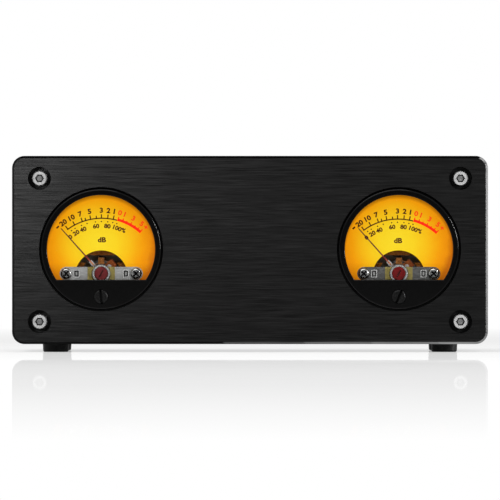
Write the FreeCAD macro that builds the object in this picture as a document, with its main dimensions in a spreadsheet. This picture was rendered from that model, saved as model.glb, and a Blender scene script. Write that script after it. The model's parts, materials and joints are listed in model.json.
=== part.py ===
"""Twin-dial audio level meter in an aluminium case.

A thick brushed front panel carries two round moving-coil meters and closes a case made of two
extruded half shells. Behind it are the driver board, its leads, and a rear panel with signal jacks,
a power inlet, a rocker switch and a level knob. Millimetres and degrees. The frame has +Z up, the
front panel faces -Y, and the origin is on the floor under the middle of the whole unit.

Each meter is drawn in its own frame: X to the right, Z up from the middle of its face, and Y as the
depth behind the front of the panel. Depths follow one another as a stack, from the bezel inwards.
"""

import FreeCAD, Part
import math
import os
import Sketcher
from FreeCAD import Rotation, Vector

SIZES = {
    # front panel
    "panel_w": 177.0,
    "panel_h": 70.0,
    "panel_t": 6.0,
    "panel_corner_r": 4.6,
    "panel_chamfer": 0.8,
    "panel_lift": 3.0,  # bottom edge of the panel above the floor
    "panel_overhang": 2.0,  # how far the panel stands out past the case all round
    "meter_inset": 33.1,  # meter centre from the side edge of the panel
    "meter_rise": 0.3,  # meter centre above the middle of the panel
    "hole_gap": 0.6,  # between the bezel and its hole in the panel
    "screw_inset_x": 10.2,  # panel screws from the edges of the panel
    "screw_inset_z": 8.35,
    "counterbore_r": 4.3,
    "counterbore_depth": 3.6,
    # panel and case screws
    "screw_r": 1.5,
    "screw_gap": 0.2,
    "screw_head_r": 2.85,
    "screw_head_h": 3.0,
    "screw_length": 12.0,
    "screw_edge": 0.35,
    "hex_flats": 2.8,
    "hex_depth": 1.6,
    "button_head_h": 1.7,
    "button_round": 1.2,
    "button_hex_flats": 2.0,
    "button_hex_depth": 0.8,
    "button_length": 8.0,
    # case shells
    "case_length": 110.0,
    "case_wall": 2.0,
    "case_corner_r": 3.0,
    "tongue": 1.5,
    "seam_gap": 0.1,
    "screw_boss_r": 3.4,
    "web_t": 2.0,
    "thread_gap": 0.05,
    "rail_h": 1.4,  # rails that hold the driver board
    "rail_reach": 2.5,
    "rail_gap": 0.1,
    "board_jack_gap": 1.25,  # top of the board below the lower signal jacks
    "board_t": 1.6,
    "board_length": 58.0,
    "board_edge_gap": 0.4,
    "board_rear_gap": 3.0,
    # feet
    "foot_r": 5.0,
    "foot_draft": 0.25,
    "foot_round": 0.6,
    "foot_side_inset": 14.1,  # foot centre from the side of the case
    "foot_inset": 12.0,  # foot centre from each end of the case
    # bezel, lens and meter shell
    "bezel_r": 22.5,
    "bezel_recess": 0.3,
    "bezel_round": 0.7,
    "window_round": 0.3,
    "rim_w": 2.4,
    "face_t": 2.2,
    "skirt_t": 1.3,
    "mask_drop": 11.35,  # top edge of the mask below the meter centre
    "lens_lip": 0.5,
    "lens_t": 1.2,
    "lens_gap": 0.05,
    "flange_lip": 2.4,
    "flange_t": 2.0,
    "pot_step": 2.0,  # flange edge to the side of the meter shell
    "pot_wall": 1.6,
    "pot_floor": 1.6,
    "ledge_w": 1.0,
    "post_r": 1.6,
    "post_x": 13.4,
    "post_rise": 5.5,
    "lower_post_x": 9.5,
    "lower_post_drop": 6.1,
    # dial plate
    "dial_t": 0.5,
    "dial_gap": 0.4,
    "dial_front_gap": 1.0,
    "dial_chord_drop": 15.5,
    "moon_r": 9.9,
    "moon_drop": 10.36,
    # pivot axis, bridge and jewel
    "axis_drop": 9.1,
    "bridge_depth": 7.0,
    "bridge_length": 31.0,
    "bridge_h": 5.0,
    "bridge_t": 1.2,
    "bridge_window_x": 9.2,
    "bridge_window_w": 2.2,
    "bridge_window_h": 2.8,
    "key_proud": 0.15,
    "key_rim": 0.28,
    "key_hollow": 0.7,
    "key_pip_inset": 0.75,  # from the edge of the window
    "key_pip_t": 0.35,
    "insulator_w": 10.2,
    "insulator_t": 0.35,
    "nut_r": 3.55,
    "nut_t": 1.25,
    "nut_seat_t": 0.4,
    "nut_edge": 0.25,
    "jewel_head_r": 2.6,
    "jewel_head_t": 1.1,
    "jewel_shank_r": 1.5,
    "jewel_slot_w": 0.6,
    "jewel_slot_depth": 0.3,
    "jewel_slot_reach": 1.45,
    "jewel_edge": 0.35,
    "jewel_slot_tilt": -30.0,
    "fit_gap": 0.05,
    "bearing_depth": 1.0,
    "pillar_x": 13.0,
    "pillar_r": 2.2,
    "pillar_neck_r": 1.5,
    "small_head_r": 2.1,
    "small_head_h": 1.3,
    "small_head_round": 0.85,
    "small_shank_r": 0.9,
    "small_shank_length": 3.2,
    "cross_slot_w": 0.6,
    "cross_slot_depth": 0.6,
    "cross_slot_reach": 1.25,
    # zero adjuster
    "zero_drop": 17.7,
    "zero_head_r": 2.6,
    "zero_gap": 0.12,
    "zero_collar_r": 3.3,
    "zero_collar_t": 0.8,
    "zero_shank_r": 2.0,
    "zero_slot_w": 0.9,
    "zero_slot_depth": 0.8,
    "left_slot_tilt": 6.0,
    "right_slot_tilt": -24.0,
    "crank_pin_r": 0.5,
    "crank_throw": 1.2,
    "fork_gap": 0.08,
    "fork_wall": 1.1,
    "fork_tip": 1.0,  # how far the fork reaches past the middle of the crank pin
    "fork_depth": 0.8,  # and how far its slot is cut the other way
    "arm_gap": 0.15,
    "arm_t": 0.4,
    "arm_ring_w": 1.3,
    "tongue_w": 2.2,
    "stud_w": 0.8,
    # hairspring
    "spring_gap": 0.2,
    "spring_h": 0.4,
    "spring_start_r": 1.1,
    "spring_pitch": 1.0,
    "spring_strip": 0.14,
    # moving system
    "rest_angle": 41.7,  # needle left of upright at rest
    "cross_gap": 0.5,
    "cross_t": 0.4,
    "hub_r": 1.5,
    "hub_gap": 0.01,
    "staff_r": 0.4,
    "needle_length": 22.7,
    "needle_t": 0.3,
    "needle_root_w": 0.6,
    "needle_tip_w": 0.34,
    "needle_start": 4.4,
    "needle_arm_length": 6.3,
    "needle_arm_w": 1.3,
    "balance_arm_length": 4.0,
    "balance_arm_w": 0.7,
    "balance_r": 0.8,
    "tail_length": 4.2,
    "tail_weight_r": 1.25,
    "weight_h": 0.9,
    "coil_gap": 0.25,
    "coil_half_length": 6.6,
    "coil_w": 3.1,
    "coil_t": 1.15,
    "coil_round": 0.7,
    "core_r": 5.0,
    "core_gap": 0.45,
    "bore_r": 7.1,
    # yoke and rear bearing
    "yoke_w": 31.0,
    "yoke_t": 8.5,
    "yoke_gap": 1.5,
    "yoke_rise": 8.9,
    "yoke_fall": 9.1,
    "yoke_bar_t": 2.05,
    "yoke_slot_h": 2.75,
    "yoke_side_t": 4.0,
    "yoke_corner_x": 6.5,
    "yoke_corner_z": 5.0,
    "strip_w": 3.0,
    "strip_t": 0.8,
    "strip_gap": 0.4,
    "rear_bridge_gap": 0.75,
    "rear_bridge_w": 22.0,
    "rear_bridge_t": 0.8,
    "rear_leg_t": 1.4,
    "rear_boss_r": 1.6,
    "rear_boss_length": 2.2,
    "rear_bearing_depth": 1.6,
    "end_play": 0.2,
    "pot_clear": 1.1,
    # backlight
    "light_w": 20.0,
    "light_h": 10.0,
    "light_rise": 5.0,
    "light_t": 1.2,
    "lamp_size": 3.0,
    "lamp_h": 1.2,
    "lamp_pitch": 7.0,
    # meter terminals and clamp ring
    "stud_x": 9.0,
    "stud_r": 1.45,
    "stud_head_r": 2.4,
    "stud_head_t": 0.7,
    "stud_reach": 6.0,
    "stud_nut_r": 2.7,
    "stud_nut_t": 2.0,
    "clamp_gap": 0.4,
    "clamp_w": 3.6,
    "clamp_t": 1.5,
    "ear_r": 3.0,
    "ear_reach": 29.0,
    "ear_clear": 1.6,  # between an ear and the screw channel above it
    "ear_screw_r": 1.2,
    "ear_head_r": 2.25,
    "ear_head_h": 1.6,
    "ear_screw_bite": 3.2,
    "ear_hole_depth": 4.0,
    # driver board parts
    "capacitor_r": 5.0,
    "capacitor_h": 12.0,
    "capacitor_neck_r": 4.6,
    "crimp_rise": 2.0,
    "crimp_w": 1.2,
    "capacitor_pitch": 16.0,
    "capacitor_y": 14.0,
    "chip_w": 6.4,
    "chip_l": 9.6,
    "chip_h": 3.4,
    "chip_pitch": 26.0,
    "lead_r": 0.65,
    "lead_bend_r": 5.0,
    "lead_tail": 0.5,  # straight end that goes down to the board
    "lead_inset": 4.0,  # from the board's front edge to the leads of the meters
    "low_lead_run": 6.0,  # from the tail of a rear fitting to where its lead goes down
    "high_lead_run": 10.0,
    # rear panel and its fittings
    "rear_t": 3.0,
    "jack_x": -9.0,
    "jack_pitch_x": 18.0,
    "jack_pitch_z": 20.0,
    "jack_flange_r": 6.0,
    "jack_flange_t": 1.5,
    "jack_r": 4.15,
    "jack_wall": 0.5,
    "jack_reach": 9.0,
    "jack_tail": 12.0,
    "insert_front_gap": 0.5,
    "pin_hole_r": 1.65,
    "pin_hole_depth": 9.0,
    "inlet_inset": 24.5,  # from the side of the case, as are the switch and the knob
    "inlet_flange_r": 6.0,
    "inlet_flange_t": 2.0,
    "inlet_r": 4.0,
    "inlet_bore_r": 2.9,
    "inlet_depth": 9.5,
    "inlet_back_t": 3.0,
    "inlet_edge": 0.5,
    "inlet_pin_r": 1.05,
    "inlet_pin_set": 0.5,
    "switch_inset": 46.5,
    "switch_w": 11.4,
    "switch_h": 15.4,
    "switch_flange_t": 1.8,
    "switch_edge": 0.5,
    "switch_body_w": 9.2,
    "switch_body_h": 13.4,
    "switch_body_t": 12.0,
    "rocker_w": 6.6,
    "rocker_r": 5.9,
    "rocker_gap": 0.2,
    "rocker_end": 4.6,
    "rocker_mid": 2.9,
    "rocker_foot": 2.4,
    "rocker_set": 2.6,  # rocker pivot below the face of its flange
    "rocker_tilt": 12.0,
    "rocker_pin_r": 0.7,
    "rocker_pin_reach": 0.8,
    "knob_inset": 36.5,
    "knob_r": 7.5,
    "knob_reach": 15.5,
    "knob_clear": 0.6,
    "knob_edge": 0.6,
    "knob_groove": 0.35,
    "knob_mark_start": 2.6,
    "bush_r": 3.4,
    "bush_stand": 0.6,
    "pot_nut_r": 5.2,
    "pot_nut_t": 2.0,
    "pot_body_r": 8.0,
    "pot_body_t": 8.0,
    "shaft_r": 3.0,
    "shaft_reach": 12.0,
    "shaft_bite": 4.0,  # how deep the shaft goes into its control
    "shaft_gap": 0.06,
}

doc = FreeCAD.newDocument("level_meter")
dims = doc.addObject("Spreadsheet::Sheet", "dims")
for row, (alias, size) in enumerate(SIZES.items(), start=1):
    dims.set(f"A{row}", alias)
    dims.set(f"B{row}", str(size))
    dims.setAlias(f"B{row}", alias)
doc.recompute()

NODES = []

# Places on the whole unit, as expressions that every sub-part shares.
FRONT_Y = "(-(dims.panel_t + dims.case_length + dims.rear_t + dims.knob_reach) / 2)"
PANEL_Z = "(dims.panel_lift + dims.panel_h / 2)"
METER_X = "(dims.panel_w / 2 - dims.meter_inset)"
METER_Z = f"({PANEL_Z} + dims.meter_rise)"
AXIS_Z = f"({METER_Z} - dims.axis_drop)"
CASE_Y = f"({FRONT_Y} + dims.panel_t)"
REAR_Y = f"({CASE_Y} + dims.case_length)"
REAR_FACE_Y = f"({REAR_Y} + dims.rear_t)"
CASE_HALF_W = "(dims.panel_w / 2 - dims.panel_overhang)"
CASE_HALF_H = "(dims.panel_h / 2 - dims.panel_overhang)"
SCREW_X = "(dims.panel_w / 2 - dims.screw_inset_x)"
SCREW_Z = "(dims.panel_h / 2 - dims.screw_inset_z)"
INLET_X = f"({CASE_HALF_W} - dims.inlet_inset)"
SWITCH_X = f"({CASE_HALF_W} - dims.switch_inset)"
KNOB_X = f"({CASE_HALF_W} - dims.knob_inset)"
BOARD_TOP_Z = f"({PANEL_Z} - dims.jack_pitch_z / 2 - dims.jack_r - dims.board_jack_gap)"
BOARD_Z = f"({BOARD_TOP_Z} - dims.board_t)"
BOARD_REAR_Y = f"({REAR_Y} - dims.board_rear_gap)"

# Radii inside one meter.
WINDOW_R = "(dims.bezel_r - dims.rim_w)"
LENS_R = f"({WINDOW_R} + dims.lens_lip)"
LENS_CHORD = "(-(dims.mask_drop + dims.lens_lip))"
HOLE_R = "(dims.bezel_r + dims.hole_gap)"
FLANGE_R = f"({HOLE_R} + dims.flange_lip)"
POT_R = f"({FLANGE_R} - dims.pot_step)"
POT_BORE_R = f"({POT_R} - dims.pot_wall)"

# Depths inside one meter, each measured from the front of the panel.
FACE_BACK = "(dims.bezel_recess + dims.face_t)"
FLANGE_BACK = "(dims.panel_t + dims.flange_t)"
BRIDGE_BACK = "(dims.bridge_depth + dims.bridge_t)"
NUT_BACK = "(dims.bridge_depth - dims.insulator_t)"
NUT_FRONT = f"({NUT_BACK} - dims.nut_t)"
ARM_FRONT = f"({BRIDGE_BACK} + dims.arm_gap)"
ARM_BACK = f"({ARM_FRONT} + dims.arm_t)"
SPRING_FRONT = f"({ARM_BACK} + dims.spring_gap)"
SPRING_BACK = f"({SPRING_FRONT} + dims.spring_h)"
CROSS_FRONT = f"({SPRING_BACK} + dims.cross_gap)"
CROSS_BACK = f"({CROSS_FRONT} + dims.cross_t)"
DIAL_FRONT = f"({CROSS_BACK} + dims.dial_front_gap)"
DIAL_BACK = f"({DIAL_FRONT} + dims.dial_t)"
COIL_FRONT = f"({DIAL_BACK} + dims.coil_gap)"
YOKE_FRONT = f"({DIAL_BACK} + dims.yoke_gap)"
YOKE_BACK = f"({YOKE_FRONT} + dims.yoke_t)"
STRIP_BACK = f"({YOKE_BACK} + dims.strip_t)"
COIL_BACK = f"({STRIP_BACK} + dims.strip_gap + dims.coil_t)"
REAR_BRIDGE_FRONT = f"({COIL_BACK} + dims.rear_bridge_gap)"
REAR_BOSS_BACK = f"({REAR_BRIDGE_FRONT} + dims.rear_boss_length)"
POT_FLOOR_FRONT = f"({REAR_BOSS_BACK} + dims.pot_clear)"
POT_BACK = f"({POT_FLOOR_FRONT} + dims.pot_floor)"
STUD_END = f"({POT_BACK} + dims.stud_reach)"
LAMP_RISE = "(dims.light_rise + dims.light_h / 2)"


# ---------------------------------------------------------------- drawing tools


def number(expression):
    """The present value of an expression of the sheet's sizes."""
    return float(dims.evalExpression(expression))


def place(part, x="0", y="0", z="0"):
    """Ties a part's position to three expressions."""
    for axis, expression in zip("xyz", (x, y, z)):
        part.setExpression(f"Placement.Base.{axis}", expression)
    return part


def turn(part, axis, angle, prop="Placement"):
    """Ties a part's turn about an axis to an expression in degrees."""
    base = getattr(part, prop).Base
    setattr(part, prop, FreeCAD.Placement(base, Rotation(axis, 1)))
    part.setExpression(f"{prop}.Rotation.Angle", angle)
    return part


def new_body(name):
    return doc.addObject("PartDesign::Body", name)


def keep(part, label=None):
    """Marks a finished sub-part, whose label names its file."""
    if label:
        part.Label = label
    NODES.append(part)
    return part


def group(label, members):
    """Several separate solids that share one node."""
    bundle = doc.addObject("Part::Compound", label)
    bundle.Links = members
    return keep(bundle)


def sketch_on(part, plane, depth="0"):
    """A sketch on one of the body's own planes, moved towards +Y from XZ or +Z from XY."""
    profile = part.newObject("Sketcher::SketchObject", part.Name + "_sketch")
    support = next(f for f in part.Origin.OriginFeatures if f.Role == plane)
    profile.AttachmentSupport = [(support, "")]
    profile.MapMode = "FlatFace"
    sign = "-" if plane == "XZ_Plane" else ""
    profile.setExpression("AttachmentOffset.Base.z", f"{sign}({depth})")
    return profile


def pin(profile, geometry, point, across, up):
    """Dimensions one point of a sketch from its origin."""
    for kind, expression in (("DistanceX", across), ("DistanceY", up)):
        rule = Sketcher.Constraint(kind, -1, 1, geometry, point, number(expression))
        index = profile.addConstraint(rule)
        profile.setExpression(f"Constraints[{index}]", expression)


def set_radius(profile, geometry, radius):
    rule = Sketcher.Constraint("Radius", geometry, number(radius))
    index = profile.addConstraint(rule)
    profile.setExpression(f"Constraints[{index}]", radius)


def outline(profile, corners):
    """A closed shape of straight lines, each corner a pair of expressions."""
    places = [Vector(number(across), number(up), 0) for across, up in corners]
    first = profile.GeometryCount
    for start, end in zip(places, places[1:] + places[:1]):
        profile.addGeometry(Part.LineSegment(start, end), False)
    for index, (across, up) in enumerate(corners):
        following = first + (index + 1) % len(corners)
        profile.addConstraint(Sketcher.Constraint("Coincident", first + index, 2, following, 1))
        pin(profile, first + index, 1, across, up)
    return profile


def rectangle(profile, left, right, bottom, top):
    return outline(profile, [(left, bottom), (right, bottom), (right, top), (left, top)])


def circle(profile, radius, across="0", up="0"):
    centre = Vector(number(across), number(up), 0)
    edge = profile.addGeometry(Part.Circle(centre, Vector(0, 0, 1), number(radius)), False)
    pin(profile, edge, 3, across, up)
    set_radius(profile, edge, radius)
    return profile


def segment(profile, radius, chord):
    """The part of a circle about the origin that lies above the height chord."""
    tilt = math.asin(number(chord) / number(radius))
    round_edge = Part.Circle(Vector(0, 0, 0), Vector(0, 0, 1), number(radius))
    arc = profile.addGeometry(Part.ArcOfCircle(round_edge, tilt, math.pi - tilt), False)
    ends = profile.getPoint(arc, 2), profile.getPoint(arc, 1)
    line = profile.addGeometry(Part.LineSegment(*ends), False)
    profile.addConstraint(Sketcher.Constraint("Coincident", arc, 3, -1, 1))
    profile.addConstraint(Sketcher.Constraint("Coincident", arc, 2, line, 1))
    profile.addConstraint(Sketcher.Constraint("Coincident", line, 2, arc, 1))
    profile.addConstraint(Sketcher.Constraint("Horizontal", line))
    set_radius(profile, arc, radius)
    level = Sketcher.Constraint("DistanceY", -1, 1, line, 1, number(chord))
    index = profile.addConstraint(level)
    profile.setExpression(f"Constraints[{index}]", chord)
    return profile


def stadium(profile, reach, radius):
    """A bar with round ends, whose end centres lie at plus and minus reach."""
    span, r = number(reach), number(radius)
    normal = Vector(0, 0, 1)
    right = profile.addGeometry(
        Part.ArcOfCircle(Part.Circle(Vector(span, 0, 0), normal, r), -math.pi / 2, math.pi / 2), False
    )
    top = profile.addGeometry(Part.LineSegment(Vector(span, r, 0), Vector(-span, r, 0)), False)
    left = profile.addGeometry(
        Part.ArcOfCircle(Part.Circle(Vector(-span, 0, 0), normal, r), math.pi / 2, 3 * math.pi / 2), False
    )
    low = profile.addGeometry(Part.LineSegment(Vector(-span, -r, 0), Vector(span, -r, 0)), False)
    pin(profile, right, 3, reach, "0")
    pin(profile, left, 3, f"-({reach})", "0")
    set_radius(profile, right, radius)
    profile.addConstraint(Sketcher.Constraint("Equal", right, left))
    for one, other in ((right, top), (top, left), (left, low), (low, right)):
        profile.addConstraint(Sketcher.Constraint("Tangent", one, 2, other, 1))
    return profile


def pad(part, profile, length, up=False):
    """Raises a sketch: towards +Y from XZ, or towards +Z from XY when up is true."""
    step = part.newObject("PartDesign::Pad", part.Name + "_pad")
    step.Profile = profile
    step.setExpression("Length", length)
    step.Reversed = not up
    return step


def pocket(part, profile, length, up=False):
    """Cuts a sketch: towards +Y from XZ, or towards +Z from XY when up is true."""
    step = part.newObject("PartDesign::Pocket", part.Name + "_pocket")
    step.Profile = profile
    step.setExpression("Length", length)
    step.Reversed = up
    return step


def disc(part, radius, start, finish, across="0", up="0"):
    """A round pad between two depths."""
    profile = circle(sketch_on(part, "XZ_Plane", start), radius, across, up)
    return pad(part, profile, f"({finish}) - ({start})")


def drill(part, radius, start, finish, across="0", up="0"):
    """A round pocket between two depths."""
    profile = circle(sketch_on(part, "XZ_Plane", start), radius, across, up)
    return pocket(part, profile, f"({finish}) - ({start})")


def turned(name, corners, upright=False):
    """A body turned about its own Y axis, or Z when upright, from (radius, distance) corners."""
    part = new_body(name)
    profile = outline(sketch_on(part, "XZ_Plane" if upright else "XY_Plane"), corners)
    step = part.newObject("PartDesign::Revolution", name + "_turn")
    step.Profile = profile
    step.ReferenceAxis = (profile, ["V_Axis"])
    step.Angle = 360
    return part


def finish_edges(part, kind, size, chosen):
    """Fillets or chamfers the edges of the body so far for which chosen is true."""
    doc.recompute()
    base = part.Tip
    names = [f"Edge{n}" for n, edge in enumerate(base.Shape.Edges, start=1) if chosen(edge)]
    step = part.newObject(f"PartDesign::{kind}", f"{part.Name}_{kind.lower()}")
    step.Base = (base, names)
    step.setExpression("Radius" if kind == "Fillet" else "Size", size)
    return step


def at_depth(depth):
    """Chooses edges that lie wholly in one plane across Y."""
    level = number(depth)
    return lambda edge: abs(edge.BoundBox.YMin - level) < 1e-4 and abs(edge.BoundBox.YMax - level) < 1e-4


def along_y(edge):
    box = edge.BoundBox
    return box.XLength < 1e-6 and box.ZLength < 1e-6 and box.YLength > 1e-3


def along_z(edge):
    box = edge.BoundBox
    return box.XLength < 1e-6 and box.YLength < 1e-6 and box.ZLength > 1e-3


def hexagon(profile, flats):
    """A hexagon about the origin, from its width across flats."""
    corner, half = f"({flats}) / sqrt(3)", f"({flats}) / 2"
    side = f"({flats}) / (2 * sqrt(3))"
    return outline(
        profile,
        [
            (corner, "0"),
            (side, half),
            (f"-({side})", half),
            (f"-({corner})", "0"),
            (f"-({side})", f"-({half})"),
            (side, f"-({half})"),
        ],
    )


def screw_places():
    """The four screw places of the panels, from their centre, as expressions."""
    return [(f"{sx} * {SCREW_X}", f"{sz} * {SCREW_Z}") for sz in (1, -1) for sx in (-1, 1)]


# ---------------------------------------------------------------- case


def panel_blank(part, half_w, half_h, thickness, corner_r):
    profile = rectangle(sketch_on(part, "XZ_Plane"), f"-{half_w}", half_w, f"-{half_h}", half_h)
    pad(part, profile, thickness)
    finish_edges(part, "Fillet", corner_r, along_y)


def front_panel():
    part = new_body("front_panel")
    panel_blank(part, "(dims.panel_w / 2)", "(dims.panel_h / 2)", "dims.panel_t", "dims.panel_corner_r")
    finish_edges(part, "Chamfer", "dims.panel_chamfer", at_depth("0"))
    rise = f"({METER_Z} - {PANEL_Z})"
    for side in (-1, 1):
        drill(part, HOLE_R, "0", "dims.panel_t", f"{side} * {METER_X}", rise)
        for ear in ear_places(side):
            bore, start = "dims.ear_screw_r + dims.thread_gap", "dims.panel_t - dims.ear_hole_depth"
            drill(part, bore, start, "dims.panel_t", ear[0], f"{ear[1]} + {rise}")
    for x, z in screw_places():
        drill(part, "dims.counterbore_r", "0", "dims.counterbore_depth", x, z)
        drill(part, "dims.screw_r + dims.screw_gap", "dims.counterbore_depth", "dims.panel_t", x, z)
    return keep(place(part, y=FRONT_Y, z=PANEL_Z))


def cap_screw(name, x, z):
    """A socket head cap screw, head first, with its seat at the counterbore floor."""
    head_front = "(dims.counterbore_depth - dims.screw_head_h)"
    part = turned(
        name,
        [
            ("0", head_front),
            ("dims.screw_head_r - dims.screw_edge", head_front),
            ("dims.screw_head_r", f"{head_front} + dims.screw_edge"),
            ("dims.screw_head_r", "dims.counterbore_depth"),
            ("dims.screw_r", "dims.counterbore_depth"),
            ("dims.screw_r", "dims.counterbore_depth + dims.screw_length"),
            ("0", "dims.counterbore_depth + dims.screw_length"),
        ],
    )
    profile = hexagon(sketch_on(part, "XZ_Plane", head_front), "dims.hex_flats")
    pocket(part, profile, "dims.hex_depth")
    return place(part, x, FRONT_Y, f"{PANEL_Z} + {z}")


def button_screw(name, x, z):
    """A low round-head socket screw whose head stands on the rear panel."""
    part = turned(
        name,
        [
            ("0", "dims.button_head_h"),
            ("dims.screw_head_r", "dims.button_head_h"),
            ("dims.screw_head_r", "0"),
            ("dims.screw_r", "0"),
            ("dims.screw_r", "-dims.button_length"),
            ("0", "-dims.button_length"),
        ],
    )
    finish_edges(part, "Fillet", "dims.button_round", at_depth("dims.button_head_h"))
    socket = "(dims.button_head_h - dims.button_hex_depth)"
    profile = hexagon(sketch_on(part, "XZ_Plane", socket), "dims.button_hex_flats")
    pocket(part, profile, "dims.button_hex_depth")
    return place(part, x, REAR_FACE_Y, f"{PANEL_Z} + {z}")


def screw_channels(part, level):
    """The screw bosses along one half shell, their webs to the wall, and their threaded bores."""
    z = f"{level} * {SCREW_Z}"
    wall_z = f"{level} * ({CASE_HALF_H} - dims.case_wall / 2)"
    for side in (-1, 1):
        x = f"{side} * {SCREW_X}"
        wall_x = f"{side} * ({CASE_HALF_W} - dims.case_wall / 2)"
        disc(part, "dims.screw_boss_r", "0", "dims.case_length", x, z)
        across = sorted((x, wall_x), key=number)
        upright = sorted((z, wall_z), key=number)
        web = rectangle(
            sketch_on(part, "XZ_Plane"), f"{x} - dims.web_t / 2", f"{x} + dims.web_t / 2", *upright
        )
        pad(part, web, "dims.case_length")
        web = rectangle(
            sketch_on(part, "XZ_Plane"), *across, f"{z} - dims.web_t / 2", f"{z} + dims.web_t / 2"
        )
        pad(part, web, "dims.case_length")
    for side in (-1, 1):
        x = f"{side} * {SCREW_X}"
        drill(part, "dims.screw_r + dims.thread_gap", "0", "dims.case_length", x, z)


def outer_corners(edge):
    """Chooses the long outer corner edges of a half shell."""
    box = edge.BoundBox
    far = abs(box.XMax) > number(CASE_HALF_W) - 1e-3 and abs(box.ZMax) > number(CASE_HALF_H) - 1e-3
    return along_y(edge) and far


def lower_shell():
    part = new_body("lower_shell")
    half_wall = f"({CASE_HALF_W} - dims.case_wall / 2)"
    bore = f"({CASE_HALF_W} - dims.case_wall)"
    floor_z = f"(-{CASE_HALF_H} + dims.case_wall)"
    right = [
        (CASE_HALF_W, "0"),
        (half_wall, "0"),
        (half_wall, "dims.tongue"),
        (bore, "dims.tongue"),
        (bore, floor_z),
    ]
    left = [(f"-{x}", z) for x, z in reversed(right)]
    base = [(f"-{CASE_HALF_W}", f"-{CASE_HALF_H}"), (CASE_HALF_W, f"-{CASE_HALF_H}")]
    profile = outline(sketch_on(part, "XZ_Plane"), base + right + left)
    pad(part, profile, "dims.case_length")
    finish_edges(part, "Fillet", "dims.case_corner_r", outer_corners)
    screw_channels(part, -1)
    board_z = f"({BOARD_Z} - {PANEL_Z})"
    rails = {
        "below": (f"{board_z} - dims.rail_gap - dims.rail_h", f"{board_z} - dims.rail_gap"),
        "above": (
            f"{board_z} + dims.board_t + dims.rail_gap",
            f"{board_z} + dims.board_t + dims.rail_gap + dims.rail_h",
        ),
    }
    for low, high in rails.values():
        for side in (-1, 1):
            ends = (f"{side} * {half_wall}", f"{side} * ({bore} - dims.rail_reach)")
            profile = rectangle(sketch_on(part, "XZ_Plane"), *sorted(ends, key=number), low, high)
            pad(part, profile, "dims.case_length")
    return keep(place(part, y=CASE_Y, z=PANEL_Z))


def upper_shell():
    part = new_body("upper_shell")
    half_wall = f"({CASE_HALF_W} - dims.case_wall / 2 + dims.seam_gap)"
    bore = f"({CASE_HALF_W} - dims.case_wall)"
    step_z = "(dims.tongue + dims.seam_gap)"
    right = [
        (bore, f"({CASE_HALF_H} - dims.case_wall)"),
        (bore, step_z),
        (half_wall, step_z),
        (half_wall, "dims.seam_gap"),
        (CASE_HALF_W, "dims.seam_gap"),
        (CASE_HALF_W, CASE_HALF_H),
    ]
    left = [(f"-{x}", z) for x, z in reversed(right)]
    profile = outline(sketch_on(part, "XZ_Plane"), right + left)
    pad(part, profile, "dims.case_length")
    finish_edges(part, "Fillet", "dims.case_corner_r", outer_corners)
    screw_channels(part, 1)
    return keep(place(part, y=CASE_Y, z=PANEL_Z))


def rear_panel():
    part = new_body("rear_panel")
    panel_blank(part, CASE_HALF_W, CASE_HALF_H, "dims.rear_t", "dims.case_corner_r")
    for x, z in screw_places():
        drill(part, "dims.screw_r + dims.screw_gap", "0", "dims.rear_t", x, z)
    for x, z in jack_places():
        drill(part, "dims.jack_r + dims.fit_gap", "0", "dims.rear_t", x, z)
    drill(part, "dims.inlet_r + dims.fit_gap", "0", "dims.rear_t", INLET_X)
    drill(part, "dims.bush_r + dims.fit_gap", "0", "dims.rear_t", f"-{KNOB_X}")
    half_w = "(dims.switch_body_w / 2 + dims.fit_gap)"
    half_h = "(dims.switch_body_h / 2 + dims.fit_gap)"
    profile = rectangle(
        sketch_on(part, "XZ_Plane"),
        f"{SWITCH_X} - {half_w}",
        f"{SWITCH_X} + {half_w}",
        f"-{half_h}",
        half_h,
    )
    pocket(part, profile, "dims.rear_t")
    return keep(place(part, y=REAR_Y, z=PANEL_Z))


def on_the_floor(edge):
    return edge.BoundBox.ZMax < 1e-4


def foot(name, x, y):
    """A moulded rubber foot, drawn from the floor up to the case."""
    height = f"({PANEL_Z} - {CASE_HALF_H})"
    part = turned(
        name,
        [
            ("0", "0"),
            ("dims.foot_r - dims.foot_draft", "0"),
            ("dims.foot_r", height),
            ("0", height),
        ],
        upright=True,
    )
    finish_edges(part, "Fillet", "dims.foot_round", on_the_floor)
    return place(part, x, y)


# ---------------------------------------------------------------- meters


def ear_places(side):
    """The two ears of a meter's clamp ring, from the panel centre: outer above, inner below."""
    up = f"({SCREW_Z} - dims.screw_boss_r - dims.ear_r - dims.ear_clear)"
    across = f"sqrt(dims.ear_reach ^ 2 - {up} ^ 2)"
    return [(f"({side} * ({METER_X} + {across}))", up), (f"({side} * ({METER_X} - {across}))", f"(-{up})")]


def at_meter(part, side, drop="0"):
    """Places a part on a meter's centre line, or that much below it."""
    return place(part, f"{side} * {METER_X}", FRONT_Y, f"{METER_Z} - {drop}")


def at_rest_angle(part, side):
    """Places a part on the pivot axis, turned to where the needle rests."""
    at_meter(part, side, "dims.axis_drop")
    return turn(part, Vector(0, 1, 0), "-dims.rest_angle")


def window_rim(edge):
    """Chooses the front edges round a bezel's window."""
    box, reach = edge.BoundBox, number(WINDOW_R) + 1e-3
    at_front = at_depth("dims.bezel_recess")(edge)
    return at_front and box.XMax < reach and box.XMin > -reach and box.ZMax < reach


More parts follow.
